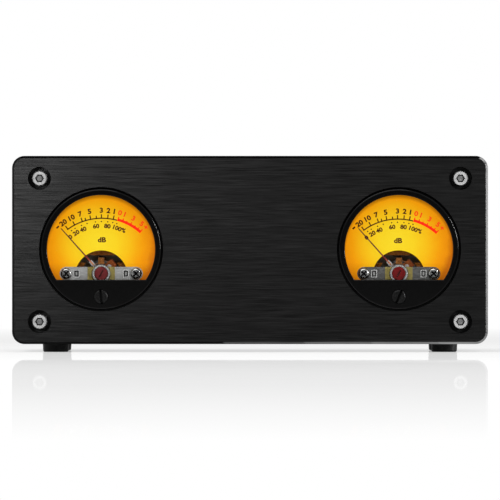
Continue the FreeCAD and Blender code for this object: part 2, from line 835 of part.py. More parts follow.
def bezel(side, prefix):
    part = new_body(prefix + "_bezel")
    disc(part, "dims.bezel_r", "dims.bezel_recess", "dims.panel_t")
    disc(part, FLANGE_R, "dims.panel_t", FLANGE_BACK)
    finish_edges(part, "Fillet", "dims.bezel_round", at_depth("dims.bezel_recess"))
    drill(part, "dims.bezel_r - dims.skirt_t", FACE_BACK, FLANGE_BACK)
    profile = segment(sketch_on(part, "XZ_Plane", "dims.bezel_recess"), WINDOW_R, "-dims.mask_drop")
    pocket(part, profile, "dims.face_t")
    finish_edges(part, "Fillet", "dims.window_round", window_rim)
    seat = f"({FACE_BACK} - dims.lens_t)"
    profile = segment(
        sketch_on(part, "XZ_Plane", seat), f"{LENS_R} + dims.lens_gap", f"{LENS_CHORD} - dims.lens_gap"
    )
    pocket(part, profile, "dims.lens_t")
    hole = "dims.zero_head_r + dims.zero_gap"
    drill(part, hole, "dims.bezel_recess", FACE_BACK, "0", "-dims.zero_drop")
    return keep(at_meter(part, side))


def lens(side, prefix):
    part = new_body(prefix + "_lens")
    start = f"({FACE_BACK} - dims.lens_t)"
    pad(part, segment(sketch_on(part, "XZ_Plane", start), LENS_R, LENS_CHORD), "dims.lens_t")
    return keep(at_meter(part, side))


def meter_shell(side, prefix):
    """The moulded cup behind the bezel, with a ledge for the dial and posts for the yoke."""
    ledge_r = f"({POT_BORE_R} - dims.ledge_w)"
    part = turned(
        prefix + "_meter_shell",
        [
            (POT_BORE_R, FLANGE_BACK),
            (POT_R, FLANGE_BACK),
            (POT_R, POT_BACK),
            ("0", POT_BACK),
            ("0", POT_FLOOR_FRONT),
            (ledge_r, POT_FLOOR_FRONT),
            (ledge_r, DIAL_BACK),
            (POT_BORE_R, DIAL_BACK),
        ],
    )
    for sign in (-1, 1):
        upper = (f"{sign} * dims.post_x", "-(dims.axis_drop - dims.post_rise)")
        lower = (f"{sign} * dims.lower_post_x", "-(dims.axis_drop + dims.lower_post_drop)")
        for across, up in (upper, lower):
            disc(part, "dims.post_r", YOKE_BACK, f"{POT_FLOOR_FRONT} + dims.pot_floor / 2", across, up)
    for sign in (-1, 1):
        bore = "dims.stud_r + dims.fit_gap"
        drill(part, bore, POT_FLOOR_FRONT, POT_BACK, f"{sign} * dims.stud_x", "-dims.axis_drop")
    drill(part, "dims.lead_r + dims.fit_gap", POT_FLOOR_FRONT, POT_BACK, "0", LAMP_RISE)
    return keep(at_meter(part, side))


def dial_plate(side, prefix):
    part = new_body(prefix + "_dial_plate")
    radius = f"({POT_BORE_R} - dims.dial_gap)"
    profile = segment(sketch_on(part, "XZ_Plane", DIAL_FRONT), radius, "-dims.dial_chord_drop")
    pad(part, profile, "dims.dial_t")
    drill(part, "dims.moon_r", DIAL_FRONT, DIAL_BACK, "0", "-dims.moon_drop")
    for sign in (-1, 1):
        hole = "dims.pillar_neck_r + dims.fit_gap"
        drill(part, hole, DIAL_FRONT, DIAL_BACK, f"{sign} * dims.pillar_x", "-dims.axis_drop")
    return keep(at_meter(part, side))


def window_outline(part, sign, depth, inset="0"):
    """The outline of a bridge window, or one that lies that far inside it."""
    middle = f"({sign} * dims.bridge_window_x)"
    half_w = f"(dims.bridge_window_w / 2 - {inset})"
    half_h = f"(dims.bridge_window_h / 2 - {inset})"
    profile = sketch_on(part, "XZ_Plane", depth)
    return rectangle(profile, f"{middle} - {half_w}", f"{middle} + {half_w}", f"-{half_h}", half_h)


def front_bridge(side, prefix):
    """The bar across the front of the movement that carries the jewel screw."""
    part = new_body(prefix + "_front_bridge")
    half_h = "dims.bridge_h / 2"
    profile = stadium(
        sketch_on(part, "XZ_Plane", "dims.bridge_depth"), f"dims.bridge_length / 2 - {half_h}", half_h
    )
    pad(part, profile, "dims.bridge_t")
    drill(part, "dims.jewel_shank_r + dims.fit_gap", "dims.bridge_depth", BRIDGE_BACK)
    for sign in (-1, 1):
        x = f"{sign} * dims.pillar_x"
        drill(part, "dims.small_shank_r + dims.fit_gap", "dims.bridge_depth", BRIDGE_BACK, x)
        pocket(part, window_outline(part, sign, "dims.bridge_depth"), "dims.bridge_t")
    return keep(at_meter(part, side, "dims.axis_drop"))


def bridge_key(name, side, sign):
    """The staked plug in a bridge window: a thin rim round a hollow with a small pip."""
    part = new_body(name)
    front = "(dims.bridge_depth - dims.key_proud)"
    pip_front = f"({front} + dims.key_hollow - dims.key_pip_t)"
    pad(part, window_outline(part, sign, front), f"{BRIDGE_BACK} - {front}")
    pocket(part, window_outline(part, sign, front, "dims.key_rim"), "dims.key_hollow")
    pad(part, window_outline(part, sign, pip_front, "dims.key_pip_inset"), "dims.key_pip_t")
    return at_meter(part, side, "dims.axis_drop")


def insulating_plate(name, side):
    part = new_body(name)
    profile = rectangle(
        sketch_on(part, "XZ_Plane", NUT_BACK),
        "-dims.insulator_w / 2",
        "dims.insulator_w / 2",
        "-dims.bridge_h / 2",
        "dims.bridge_h / 2",
    )
    pad(part, profile, "dims.insulator_t")
    drill(part, "dims.jewel_shank_r + dims.fit_gap", NUT_BACK, "dims.bridge_depth")
    return at_meter(part, side, "dims.axis_drop")


def jewel_nut(name, side):
    """The round lock nut, with a recess for the head of the jewel screw."""
    bore = "(dims.jewel_shank_r + dims.fit_gap)"
    recess = "(dims.jewel_head_r + dims.fit_gap)"
    seat = f"({NUT_BACK} - dims.nut_seat_t)"
    part = turned(
        name,
        [
            (bore, NUT_BACK),
            ("dims.nut_r", NUT_BACK),
            ("dims.nut_r", f"{NUT_FRONT} + dims.nut_edge"),
            ("dims.nut_r - dims.nut_edge", NUT_FRONT),
            (recess, NUT_FRONT),
            (recess, seat),
            (bore, seat),
        ],
    )
    return at_meter(part, side, "dims.axis_drop")


def jewel_screw(side, prefix):
    """The lacquered bearing screw: its hollow end behind the bridge takes the pivot."""
    seat = f"({NUT_BACK} - dims.nut_seat_t)"
    head_front = f"({seat} - dims.jewel_head_t)"
    bearing_r = "(dims.staff_r + dims.fit_gap)"
    bottom = f"({ARM_BACK} - dims.bearing_depth)"
    part = turned(
        prefix + "_jewel_screw",
        [
            ("0", head_front),
            ("dims.jewel_head_r - dims.jewel_edge", head_front),
            ("dims.jewel_head_r", f"{head_front} + dims.jewel_edge"),
            ("dims.jewel_head_r", seat),
            ("dims.jewel_shank_r", seat),
            ("dims.jewel_shank_r", ARM_BACK),
            (bearing_r, ARM_BACK),
            (bearing_r, bottom),
            ("0", bottom),
        ],
    )
    half_w, reach = "dims.jewel_slot_w / 2", "dims.jewel_slot_reach"
    profile = rectangle(
        sketch_on(part, "XZ_Plane", head_front), f"-{half_w}", half_w, f"-{reach}", reach
    )
    turn(profile, Vector(0, 0, 1), "dims.jewel_slot_tilt", "AttachmentOffset")
    pocket(part, profile, "dims.jewel_slot_depth")
    return keep(at_meter(part, side, "dims.axis_drop"))


def bridge_pillar(name, side, sign):
    """A stepped pillar: its shoulder holds the dial, its neck the bridge."""
    bore = "(dims.small_shank_r + dims.fit_gap)"
    bottom = "(dims.bridge_depth + dims.small_shank_length + dims.fit_gap)"
    part = turned(
        name,
        [
            (bore, BRIDGE_BACK),
            ("dims.pillar_neck_r", BRIDGE_BACK),
            ("dims.pillar_neck_r", DIAL_BACK),
            ("dims.pillar_r", DIAL_BACK),
            ("dims.pillar_r", YOKE_FRONT),
            ("0", YOKE_FRONT),
            ("0", bottom),
            (bore, bottom),
        ],
    )
    at_meter(part, side, "dims.axis_drop")
    part.setExpression("Placement.Base.x", f"{side} * {METER_X} + {sign} * dims.pillar_x")
    return part


def bridge_screw(name, side, sign):
    """A small pan-head screw with a crossed slot."""
    front = "(dims.bridge_depth - dims.small_head_h)"
    end = "(dims.bridge_depth + dims.small_shank_length)"
    part = turned(
        name,
        [
            ("0", front),
            ("dims.small_head_r", front),
            ("dims.small_head_r", "dims.bridge_depth"),
            ("dims.small_shank_r", "dims.bridge_depth"),
            ("dims.small_shank_r", end),
            ("0", end),
        ],
    )
    finish_edges(part, "Fillet", "dims.small_head_round", at_depth(front))
    half_w, reach = "dims.cross_slot_w / 2", "dims.cross_slot_reach"
    for left, bottom in ((half_w, reach), (reach, half_w)):
        profile = rectangle(
            sketch_on(part, "XZ_Plane", front), f"-{left}", left, f"-{bottom}", bottom
        )
        pocket(part, profile, "dims.cross_slot_depth")
    at_meter(part, side, "dims.axis_drop")
    part.setExpression("Placement.Base.x", f"{side} * {METER_X} + {sign} * dims.pillar_x")
    return part


def yoke(side, prefix):
    """The iron pole shoes round the coil, and the frame that joins them over an open slot."""
    part = new_body(prefix + "_yoke")
    half = "(dims.yoke_w / 2)"
    slant_x = f"({half} - dims.yoke_corner_x)"
    slant_z = "(-dims.yoke_fall + dims.yoke_corner_z)"
    slot_top = "(dims.yoke_rise - dims.yoke_bar_t)"
    shoe_top = f"({slot_top} - dims.yoke_slot_h)"
    slot_half = f"({half} - dims.yoke_side_t)"
    right = [(half, shoe_top), (half, slant_z), (slant_x, "-dims.yoke_fall")]
    left = [(f"-{x}", z) for x, z in reversed(right)]
    pad(part, outline(sketch_on(part, "XZ_Plane", YOKE_FRONT), right + left), "dims.yoke_t")
    drill(part, "dims.bore_r", YOKE_FRONT, YOKE_BACK)
    right = [(slot_half, slot_top), (slot_half, shoe_top), (half, shoe_top), (half, "dims.yoke_rise")]
    left = [(f"-{x}", z) for x, z in reversed(right)]
    pad(part, outline(sketch_on(part, "XZ_Plane", YOKE_FRONT), right + left), "dims.yoke_t")
    return keep(at_meter(part, side, "dims.axis_drop"))


def core_magnet(name, side):
    part = new_body(name)
    front = f"({COIL_FRONT} + dims.coil_t + dims.core_gap)"
    disc(part, "dims.core_r", front, YOKE_BACK)
    return at_meter(part, side, "dims.axis_drop")


def core_strip(name, side):
    """The brass strip that holds the core across the back of the yoke."""
    part = new_body(name)
    half = "dims.strip_w / 2"
    profile = rectangle(
        sketch_on(part, "XZ_Plane", YOKE_BACK), f"-{half}", half, "-dims.yoke_fall", "dims.yoke_rise"
    )
    pad(part, profile, "dims.strip_t")
    return at_meter(part, side, "dims.axis_drop")


def rear_bridge(name, side):
    """A bridge on two legs, with a boss that carries the rear pivot."""
    part = new_body(name)
    half_w, half_h = "(dims.rear_bridge_w / 2)", "dims.bridge_h / 2"
    profile = rectangle(
        sketch_on(part, "XZ_Plane", REAR_BRIDGE_FRONT), f"-{half_w}", half_w, f"-{half_h}", half_h
    )
    pad(part, profile, "dims.rear_bridge_t")
    for sign in (-1, 1):
        ends = sorted((f"{sign} * {half_w}", f"{sign} * ({half_w} - dims.rear_leg_t)"), key=number)
        profile = rectangle(sketch_on(part, "XZ_Plane", YOKE_BACK), *ends, f"-{half_h}", half_h)
        pad(part, profile, f"{REAR_BRIDGE_FRONT} - {YOKE_BACK} + dims.rear_bridge_t / 2")
    disc(part, "dims.rear_boss_r", REAR_BRIDGE_FRONT, REAR_BOSS_BACK)
    bottom = f"({REAR_BRIDGE_FRONT} + dims.rear_bearing_depth)"
    drill(part, "dims.staff_r + dims.fit_gap", REAR_BRIDGE_FRONT, bottom)
    return at_meter(part, side, "dims.axis_drop")


def backlight(name, side):
    """The lamp board on the floor of the meter shell, with three square lamps."""
    part = new_body(name)
    board_front = f"({POT_FLOOR_FRONT} - dims.light_t)"
    profile = rectangle(
        sketch_on(part, "XZ_Plane", board_front),
        "-dims.light_w / 2",
        "dims.light_w / 2",
        "dims.light_rise",
        "dims.light_rise + dims.light_h",
    )
    pad(part, profile, "dims.light_t")
    half = "dims.lamp_size / 2"
    for step in (-1, 0, 1):
        x = f"({step} * dims.lamp_pitch)"
        profile = rectangle(
            sketch_on(part, "XZ_Plane", f"{board_front} - dims.lamp_h"),
            f"{x} - {half}",
            f"{x} + {half}",
            f"{LAMP_RISE} - {half}",
            f"{LAMP_RISE} + {half}",
        )
        pad(part, profile, "dims.lamp_h + dims.light_t / 2")
    return at_meter(part, side)


def zero_screw(side, prefix):
    """The slotted plug in the mask, with the crank pin that swings the zero arm."""
    collar_front = f"({FACE_BACK} + dims.zero_gap)"
    collar_back = f"({collar_front} + dims.zero_collar_t)"
    shank_end = "(dims.bridge_depth - dims.insulator_t - dims.nut_t)"
    part = turned(
        prefix + "_zero_screw",
        [
            ("0", "dims.bezel_recess"),
            ("dims.zero_head_r", "dims.bezel_recess"),
            ("dims.zero_head_r", collar_front),
            ("dims.zero_collar_r", collar_front),
            ("dims.zero_collar_r", collar_back),
            ("dims.zero_shank_r", collar_back),
            ("dims.zero_shank_r", shank_end),
            ("0", shank_end),
        ],
    )
    half_w = "dims.zero_slot_w / 2"
    profile = rectangle(
        sketch_on(part, "XZ_Plane", "dims.bezel_recess"),
        f"-{half_w}",
        half_w,
        "-dims.zero_collar_r",
        "dims.zero_collar_r",
    )
    turn(profile, Vector(0, 0, 1), f"dims.{prefix}_slot_tilt", "AttachmentOffset")
    pocket(part, profile, "dims.zero_slot_depth")
    pin_back = f"({ARM_BACK} + dims.spring_gap)"
    disc(part, "dims.crank_pin_r", collar_back, pin_back, "0", "dims.crank_throw")
    return keep(at_meter(part, side, "dims.zero_drop"))


def zero_arm(side, prefix):
    """The lever round the jewel screw: a fork below for the crank pin, a stud for the spring."""
    part = new_body(prefix + "_zero_arm")
    ring_r = "(dims.jewel_shank_r + dims.fit_gap + dims.arm_ring_w)"
    pin_drop = "(dims.zero_drop - dims.axis_drop - dims.crank_throw)"
    slot_half = "(dims.crank_pin_r + dims.fork_gap)"
    arm_half = f"({slot_half} + dims.fork_wall)"
    tip = f"({pin_drop} + dims.fork_tip)"
    disc(part, ring_r, ARM_FRONT, ARM_BACK)
    profile = rectangle(
        sketch_on(part, "XZ_Plane", ARM_FRONT), f"-{arm_half}", arm_half, f"-{tip}", "-dims.jewel_shank_r"
    )
    pad(part, profile, "dims.arm_t")
    tongue_half, stud_half = "dims.tongue_w / 2", "dims.stud_w / 2"
    stud_foot, stud_top = spring_end(), f"({spring_end()} + dims.stud_w)"
    profile = sketch_on(part, "XZ_Plane", ARM_FRONT)
    rectangle(profile, f"-{tongue_half}", tongue_half, "dims.jewel_shank_r", stud_top)
    pad(part, profile, "dims.arm_t")
    profile = sketch_on(part, "XZ_Plane", ARM_FRONT)
    rectangle(profile, f"-{stud_half}", stud_half, stud_foot, stud_top)
    pad(part, profile, f"{SPRING_BACK} - {ARM_FRONT}")
    drill(part, "dims.jewel_shank_r + dims.fit_gap", ARM_FRONT, ARM_BACK)
    profile = rectangle(
        sketch_on(part, "XZ_Plane", ARM_FRONT),
        f"-{slot_half}",
        slot_half,
        f"-({tip} + dims.fork_gap)",
        f"-({pin_drop} - dims.fork_depth)",
    )
    pocket(part, profile, "dims.arm_t")
    return keep(at_meter(part, side, "dims.axis_drop"))


SPRING_HALF_TURNS = 8


def spring_end():
    """Outer radius of the hairspring where it meets its stud, as an expression."""
    return f"(dims.spring_start_r + {SPRING_HALF_TURNS} * dims.spring_pitch / 2 + dims.spring_strip / 2)"


def spiral_edge(profile, offset):
    """One edge of the spiral: half circles whose centres take turns half a pitch apart."""
    first = profile.GeometryCount
    for index in range(SPRING_HALF_TURNS):
        centre = "dims.spring_pitch / 2" if index % 2 else "0"
        radius = f"dims.spring_start_r + {index} * dims.spring_pitch / 2 + {offset}"
        middle = Vector(number(centre), 0, 0)
        start = math.pi * (index % 2)
        whole = Part.Circle(middle, Vector(0, 0, 1), number(radius))
        arc = profile.addGeometry(Part.ArcOfCircle(whole, start, start + math.pi), False)
        pin(profile, arc, 3, centre, "0")
        set_radius(profile, arc, radius)
        for point in (1, 2):
            profile.addConstraint(Sketcher.Constraint("PointOnObject", arc, point, -1))
    return first, arc


def hairspring(side, prefix):
    """A flat spiral strip, wound from the collet of the staff out to the stud of the zero arm."""
    part = new_body(prefix + "_hairspring")
    profile = turn(sketch_on(part, "XZ_Plane", SPRING_FRONT), Vector(0, 0, 1), "90", "AttachmentOffset")
    outer_first, outer_last = spiral_edge(profile, "dims.spring_strip / 2")
    inner_first, inner_last = spiral_edge(profile, "-dims.spring_strip / 2")
    for one, other, point in ((outer_first, inner_first, 1), (outer_last, inner_last, 2)):
        ends = profile.getPoint(one, point), profile.getPoint(other, point)
        cap = profile.addGeometry(Part.LineSegment(*ends), False)
        profile.addConstraint(Sketcher.Constraint("Coincident", cap, 1, one, point))
        profile.addConstraint(Sketcher.Constraint("Coincident", cap, 2, other, point))
    pad(part, profile, "dims.spring_h")
    return keep(at_meter(part, side, "dims.axis_drop"))


def pivot_staff(side, prefix):
    """The two half shafts at the ends of the coil, front and rear."""
    front = f"({ARM_BACK} - dims.bearing_depth + dims.end_play)"
    rear_end = f"({REAR_BRIDGE_FRONT} + dims.rear_bearing_depth - dims.end_play)"
    halves = []
    for end, start, finish in (("front", front, COIL_FRONT), ("rear", COIL_BACK, rear_end)):
        part = new_body(f"{prefix}_staff_{end}")
        disc(part, "dims.staff_r", start, finish)
        if end == "front":
            collet_r = "dims.spring_start_r - dims.spring_strip / 2 - dims.fit_gap"
            disc(part, collet_r, SPRING_FRONT, SPRING_BACK)
        halves.append(at_rest_angle(part, side))
    return group(prefix + "_pivot_staff", halves)


def balance_cross(side, prefix):
    """The hub with the needle arm, a tail and two side arms that carry balance weights."""
    part = new_body(prefix + "_balance_cross")
    disc(part, "dims.hub_r", CROSS_FRONT, CROSS_BACK)
    half_needle, half_arm = "dims.needle_arm_w / 2", "dims.balance_arm_w / 2"
    reach = "dims.balance_arm_length"
    arms = (
        (f"-{half_needle}", half_needle, "0", "dims.needle_arm_length"),
        (f"-{half_arm}", half_arm, "-dims.tail_length", "0"),
        (f"-{reach}", reach, f"-{half_arm}", half_arm),
    )
    for left, right, bottom, top in arms:
        profile = rectangle(sketch_on(part, "XZ_Plane", CROSS_FRONT), left, right, bottom, top)
        pad(part, profile, "dims.cross_t")
    weight_back = f"({CROSS_FRONT} + dims.weight_h)"
    for across in (f"-{reach}", reach):
        disc(part, "dims.balance_r", CROSS_FRONT, weight_back, across)
    disc(part, "dims.tail_weight_r", CROSS_FRONT, weight_back, "0", "-dims.tail_length")
    drill(part, "dims.staff_r + dims.hub_gap", CROSS_FRONT, CROSS_BACK)
    return keep(at_rest_angle(part, side))


def needle(side, prefix):
    """The pointer blade, tapered towards its tip and laid on the needle arm."""
    part = new_body(prefix + "_needle")
    profile = outline(
        sketch_on(part, "XZ_Plane", f"{CROSS_FRONT} - dims.needle_t"),
        [
            ("-dims.needle_root_w / 2", "dims.needle_start"),
            ("dims.needle_root_w / 2", "dims.needle_start"),
            ("dims.needle_tip_w / 2", "dims.needle_length - dims.needle_tip_w"),
            ("0", "dims.needle_length"),
            ("-dims.needle_tip_w / 2", "dims.needle_length - dims.needle_tip_w"),
        ],
    )
    pad(part, profile, "dims.needle_t")
    return keep(at_rest_angle(part, side))


def moving_coil(side, prefix):
    """The wound rectangular frame that turns round the core."""
    part = new_body(prefix + "_moving_coil")
    half = "dims.coil_half_length"
    profile = sketch_on(part, "XY_Plane", "-dims.coil_w / 2")
    rectangle(profile, f"-{half}", half, COIL_FRONT, COIL_BACK)
    pad(part, profile, "dims.coil_w", up=True)
    finish_edges(part, "Fillet", "dims.coil_round", along_z)
    profile = sketch_on(part, "XY_Plane", "dims.coil_w / 2")
    inner = f"({half} - dims.coil_t)"
    rectangle(profile, f"-{inner}", inner, f"{COIL_FRONT} + dims.coil_t", f"{COIL_BACK} - dims.coil_t")
    pocket(part, profile, "dims.coil_w")
    return keep(at_rest_angle(part, side))


def terminal(name, side, sign):
    """A terminal stud through the meter shell, with its nut."""
    head_front = f"({POT_FLOOR_FRONT} - dims.stud_head_t)"
    nut_back = f"({POT_BACK} + dims.stud_nut_t)"
    part = turned(
        name,
        [
            ("0", head_front),
            ("dims.stud_head_r", head_front),
            ("dims.stud_head_r", POT_FLOOR_FRONT),
            ("dims.stud_r", POT_FLOOR_FRONT),
            ("dims.stud_r", POT_BACK),
            ("dims.stud_nut_r", POT_BACK),
            ("dims.stud_nut_r", nut_back),
            ("dims.stud_r", nut_back),
            ("dims.stud_r", STUD_END),
            ("0", STUD_END),
        ],
    )
    at_meter(part, side, "dims.axis_drop")
    part.setExpression("Placement.Base.x", f"{side} * {METER_X} + {sign} * dims.stud_x")
    return part


def clamp_ring(name, side):
    """The ring that presses the bezel flange against the panel, with an ear for each screw."""
    part = new_body(name)
    back = f"({FLANGE_BACK} + dims.clamp_t)"
    bore = f"({POT_R} + dims.clamp_gap)"
    disc(part, f"{bore} + dims.clamp_w", FLANGE_BACK, back)
    centre = f"{side} * {METER_X}"
    ears = [(f"{x} - ({centre})", z) for x, z in ear_places(side)]
    for x, z in ears:
        disc(part, "dims.ear_r", "dims.panel_t", back, x, z)
    drill(part, bore, FLANGE_BACK, back)
    for x, z in ears:
        drill(part, "dims.ear_screw_r + dims.fit_gap", "dims.panel_t", back, x, z)
    return at_meter(part, side)


def clamp_screw(name, x, z):
    seat = f"({FLANGE_BACK} + dims.clamp_t)"
    end = "(dims.panel_t - dims.ear_screw_bite)"
    part = turned(
        name,
        [
            ("0", end),
            ("dims.ear_screw_r", end),
            ("dims.ear_screw_r", seat),
            ("dims.ear_head_r", seat),
            ("dims.ear_head_r", f"{seat} + dims.ear_head_h"),
            ("0", f"{seat} + dims.ear_head_h"),
        ],
    )
    return place(part, x, FRONT_Y, f"{METER_Z} + {z}")


# ---------------------------------------------------------------- driver board and leads


def driver_board():
    part = new_body("driver_board")
    half = f"({CASE_HALF_W} - dims.case_wall - dims.board_edge_gap)"
    profile = rectangle(sketch_on(part, "XY_Plane"), f"-{half}", half, "-dims.board_length", "0")
    pad(part, profile, "dims.board_t", up=True)
    return keep(place(part, "0", BOARD_REAR_Y, BOARD_Z))


def capacitor(name, step):
    top, neck_r = "dims.capacitor_h", "dims.capacitor_neck_r"
    shoulder = f"({top} - dims.capacitor_r + {neck_r})"
    part = turned(
        name,
        [
            ("0", "0"),
            ("dims.capacitor_r", "0"),
            ("dims.capacitor_r", "dims.crimp_rise - dims.crimp_w / 2"),
            (neck_r, "dims.crimp_rise"),
            ("dims.capacitor_r", "dims.crimp_rise + dims.crimp_w / 2"),
            ("dims.capacitor_r", shoulder),
            (neck_r, top),
            ("0", top),
        ],
        upright=True,
    )
    y = f"{BOARD_REAR_Y} - dims.board_length + dims.capacitor_y"
    return place(part, f"{step} * dims.capacitor_pitch", y, BOARD_TOP_Z)


def chip(name, side):
    part = new_body(name)
    half_w, half_l = "dims.chip_w / 2", "dims.chip_l / 2"
    profile = rectangle(sketch_on(part, "XY_Plane"), f"-{half_l}", half_l, f"-{half_w}", half_w)
    pad(part, profile, "dims.chip_h", up=True)
    y = f"{BOARD_REAR_Y} - dims.board_length / 2"
    return place(part, f"{side} * dims.chip_pitch / 2", y, BOARD_TOP_Z)


def lead(name, start, run, forward=False):
    """One lead: straight out from its start, round a bend, and down to the top of the board."""
    part = new_body(name)
    x, y, z = start
    drop = f"({z} - {BOARD_TOP_Z})"
    bend_r = f"min(dims.lead_bend_r, {drop} - dims.lead_tail)"
    way = "-1" if forward else "1"
    corners = [
        ("0", "0"),
        (f"{way} * ({run} - {bend_r})", "0"),
        (f"{way} * ({run})", f"-{bend_r}"),
        (f"{way} * ({run})", f"-{drop}"),
    ]
    points = [Vector(number(along), number(up), 0) for along, up in corners]
    path = sketch_on(part, "YZ_Plane")
    centre = Vector(points[1].x, points[2].y, 0)
    middle = centre + (points[1] - centre + points[2] - centre) * math.sqrt(0.5)
    first = path.addGeometry(Part.LineSegment(points[0], points[1]), False)
    arc = path.addGeometry(Part.Arc(points[1], middle, points[2]), False)
    last = path.addGeometry(Part.LineSegment(points[2], points[3]), False)
    near, far = (1, 2) if forward else (2, 1)
    path.addConstraint(Sketcher.Constraint("Coincident", first, 2, arc, near))
    path.addConstraint(Sketcher.Constraint("Coincident", arc, far, last, 1))
    for geometry, point, corner in ((first, 1, 0), (first, 2, 1), (last, 1, 2), (last, 2, 3)):
        pin(path, geometry, point, *corners[corner])
    set_radius(path, arc, bend_r)
    sweep = part.newObject("PartDesign::AdditivePipe", name + "_sweep")
    sweep.Profile = circle(sketch_on(part, "XZ_Plane"), "dims.lead_r")
    sweep.Spine = (path, ["Edge1", "Edge2", "Edge3"])
    return place(part, x, y, z)


def meter_leads():
    """Two leads from each meter's studs and one from its lamps, back and down to the board."""
    landing = "(dims.panel_t + dims.case_length - dims.board_rear_gap - dims.board_length + dims.lead_inset)"
    leads = []
    for side in (-1, 1):
        centre = f"{side} * {METER_X}"
        starts = [
            (f"{centre} + {sign} * dims.stud_x", STUD_END, AXIS_Z, f"{landing} - {STUD_END}")
            for sign in (-1, 1)
        ]
        starts.append(
            (centre, POT_FLOOR_FRONT, f"{METER_Z} + {LAMP_RISE}", f"{landing} - {POT_FLOOR_FRONT}")
        )
        for x, depth, z, run in starts:
            name = f"meter_lead_{len(leads)}"
            leads.append(lead(name, (x, f"{FRONT_Y} + {depth}", z), run))
    return leads


def rear_leads():
    """One lead from the inner end of each rear fitting, forward and down to the board."""
    fittings = []
    for x, z in jack_places():
        run = "dims.high_lead_run" if number(z) > 0 else "dims.low_lead_run"
        fittings.append((x, f"{PANEL_Z} + {z}", "dims.jack_tail", run))
    inlet_tail = "(dims.inlet_depth - dims.inlet_flange_t + dims.inlet_back_t - dims.rear_t)"
    switch_tail = "(dims.switch_body_t - dims.rear_t)"
    fittings += [
        (INLET_X, PANEL_Z, inlet_tail, "dims.high_lead_run"),
        (SWITCH_X, PANEL_Z, switch_tail, "dims.high_lead_run"),
        (f"-{KNOB_X}", PANEL_Z, "dims.pot_body_t", "dims.high_lead_run"),
    ]
    return [
        lead(f"rear_lead_{n}", (x, f"{REAR_Y} - {tail}", z), run, forward=True)
        for n, (x, z, tail, run) in enumerate(fittings)
    ]


# ---------------------------------------------------------------- rear fittings


def jack_places():
    """The four signal jacks, from the panel centre: two columns, left over right."""
    return [
        (f"dims.jack_x + {sx} * dims.jack_pitch_x / 2", f"{sz} * dims.jack_pitch_z / 2")
        for sz in (1, -1)
        for sx in (-1, 1)
    ]


def signal_jack(name, x, z):
    """A round signal jack: flange against the panel, sleeve outside, body inside."""
    bore = "(dims.jack_r - dims.jack_wall)"
    part = turned(
        name,
        [
            (bore, "dims.jack_flange_t"),
            (bore, "dims.jack_reach"),
            ("dims.jack_r", "dims.jack_reach"),
            ("dims.jack_r", "dims.jack_flange_t"),
            ("dims.jack_flange_r", "dims.jack_flange_t"),
            ("dims.jack_flange_r", "0"),
            ("dims.jack_r", "0"),
            ("dims.jack_r", "-dims.rear_t - dims.jack_tail"),
            ("0", "-dims.rear_t - dims.jack_tail"),
            ("0", "-dims.rear_t"),
            (bore, "-dims.rear_t"),
        ],
    )
    return place(part, x, REAR_FACE_Y, f"{PANEL_Z} + {z}")


def jack_insert(name, x, z):
    """The coloured insulator inside a jack, with its contact hole."""
    front = "(dims.jack_reach - dims.insert_front_gap)"
    radius = "(dims.jack_r - dims.jack_wall - dims.fit_gap)"
    part = turned(
        name,
        [
            ("dims.pin_hole_r", front),
            (radius, front),
            (radius, "-dims.rear_t"),
            ("0", "-dims.rear_t"),
            ("0", f"{front} - dims.pin_hole_depth"),
            ("dims.pin_hole_r", f"{front} - dims.pin_hole_depth"),
        ],
    )
    return place(part, x, REAR_FACE_Y, f"{PANEL_Z} + {z}")


def power_inlet():
    """The barrel inlet: a round socket with its centre pin."""
    face = "dims.inlet_flange_t"
    bottom = f"({face} - dims.inlet_depth)"
    tip = f"({face} - dims.inlet_pin_set)"
    part = turned(
        "power_inlet",
        [
            ("dims.inlet_bore_r", face),
            ("dims.inlet_flange_r - dims.inlet_edge", face),
            ("dims.inlet_flange_r", f"{face} - dims.inlet_edge"),
            ("dims.inlet_flange_r", "0"),
            ("dims.inlet_r", "0"),
            ("dims.inlet_r", f"{bottom} - dims.inlet_back_t"),
            ("0", f"{bottom} - dims.inlet_back_t"),
            ("0", tip),
            ("dims.inlet_pin_r", tip),
            ("dims.inlet_pin_r", bottom),
            ("dims.inlet_bore_r", bottom),
        ],
    )
    return keep(place(part, INLET_X, REAR_FACE_Y, PANEL_Z))


def switch_housing():
    part = new_body("switch_housing")
    half_w, half_h = "dims.switch_w / 2", "dims.switch_h / 2"
    pad(
        part,
        rectangle(sketch_on(part, "XZ_Plane"), f"-{half_w}", half_w, f"-{half_h}", half_h),
        "dims.switch_flange_t",
    )
    finish_edges(part, "Chamfer", "dims.switch_edge", at_depth("dims.switch_flange_t"))
    half_w, half_h = "dims.switch_body_w / 2", "dims.switch_body_h / 2"
    profile = sketch_on(part, "XZ_Plane", "-dims.switch_body_t")
    rectangle(profile, f"-{half_w}", half_w, f"-{half_h}", half_h)
    pad(part, profile, "dims.switch_body_t")
    half_w = "(dims.rocker_w / 2 + dims.rocker_gap)"
    half_h = "(dims.rocker_r + dims.rocker_gap)"
    depth = f"(dims.rocker_set + {half_h})"
    profile = sketch_on(part, "XZ_Plane", f"dims.switch_flange_t - {depth}")
    rectangle(profile, f"-{half_w}", half_w, f"-{half_h}", half_h)
    pocket(part, profile, depth)
    reach = f"({half_w} + dims.rocker_pin_reach)"
    profile = sketch_on(part, "YZ_Plane", f"-{reach}")
    circle(profile, "dims.rocker_pin_r + dims.fit_gap", "dims.switch_flange_t - dims.rocker_set")
    pocket(part, profile, f"2 * {reach}", up=True)
    return keep(place(part, SWITCH_X, REAR_FACE_Y, PANEL_Z))


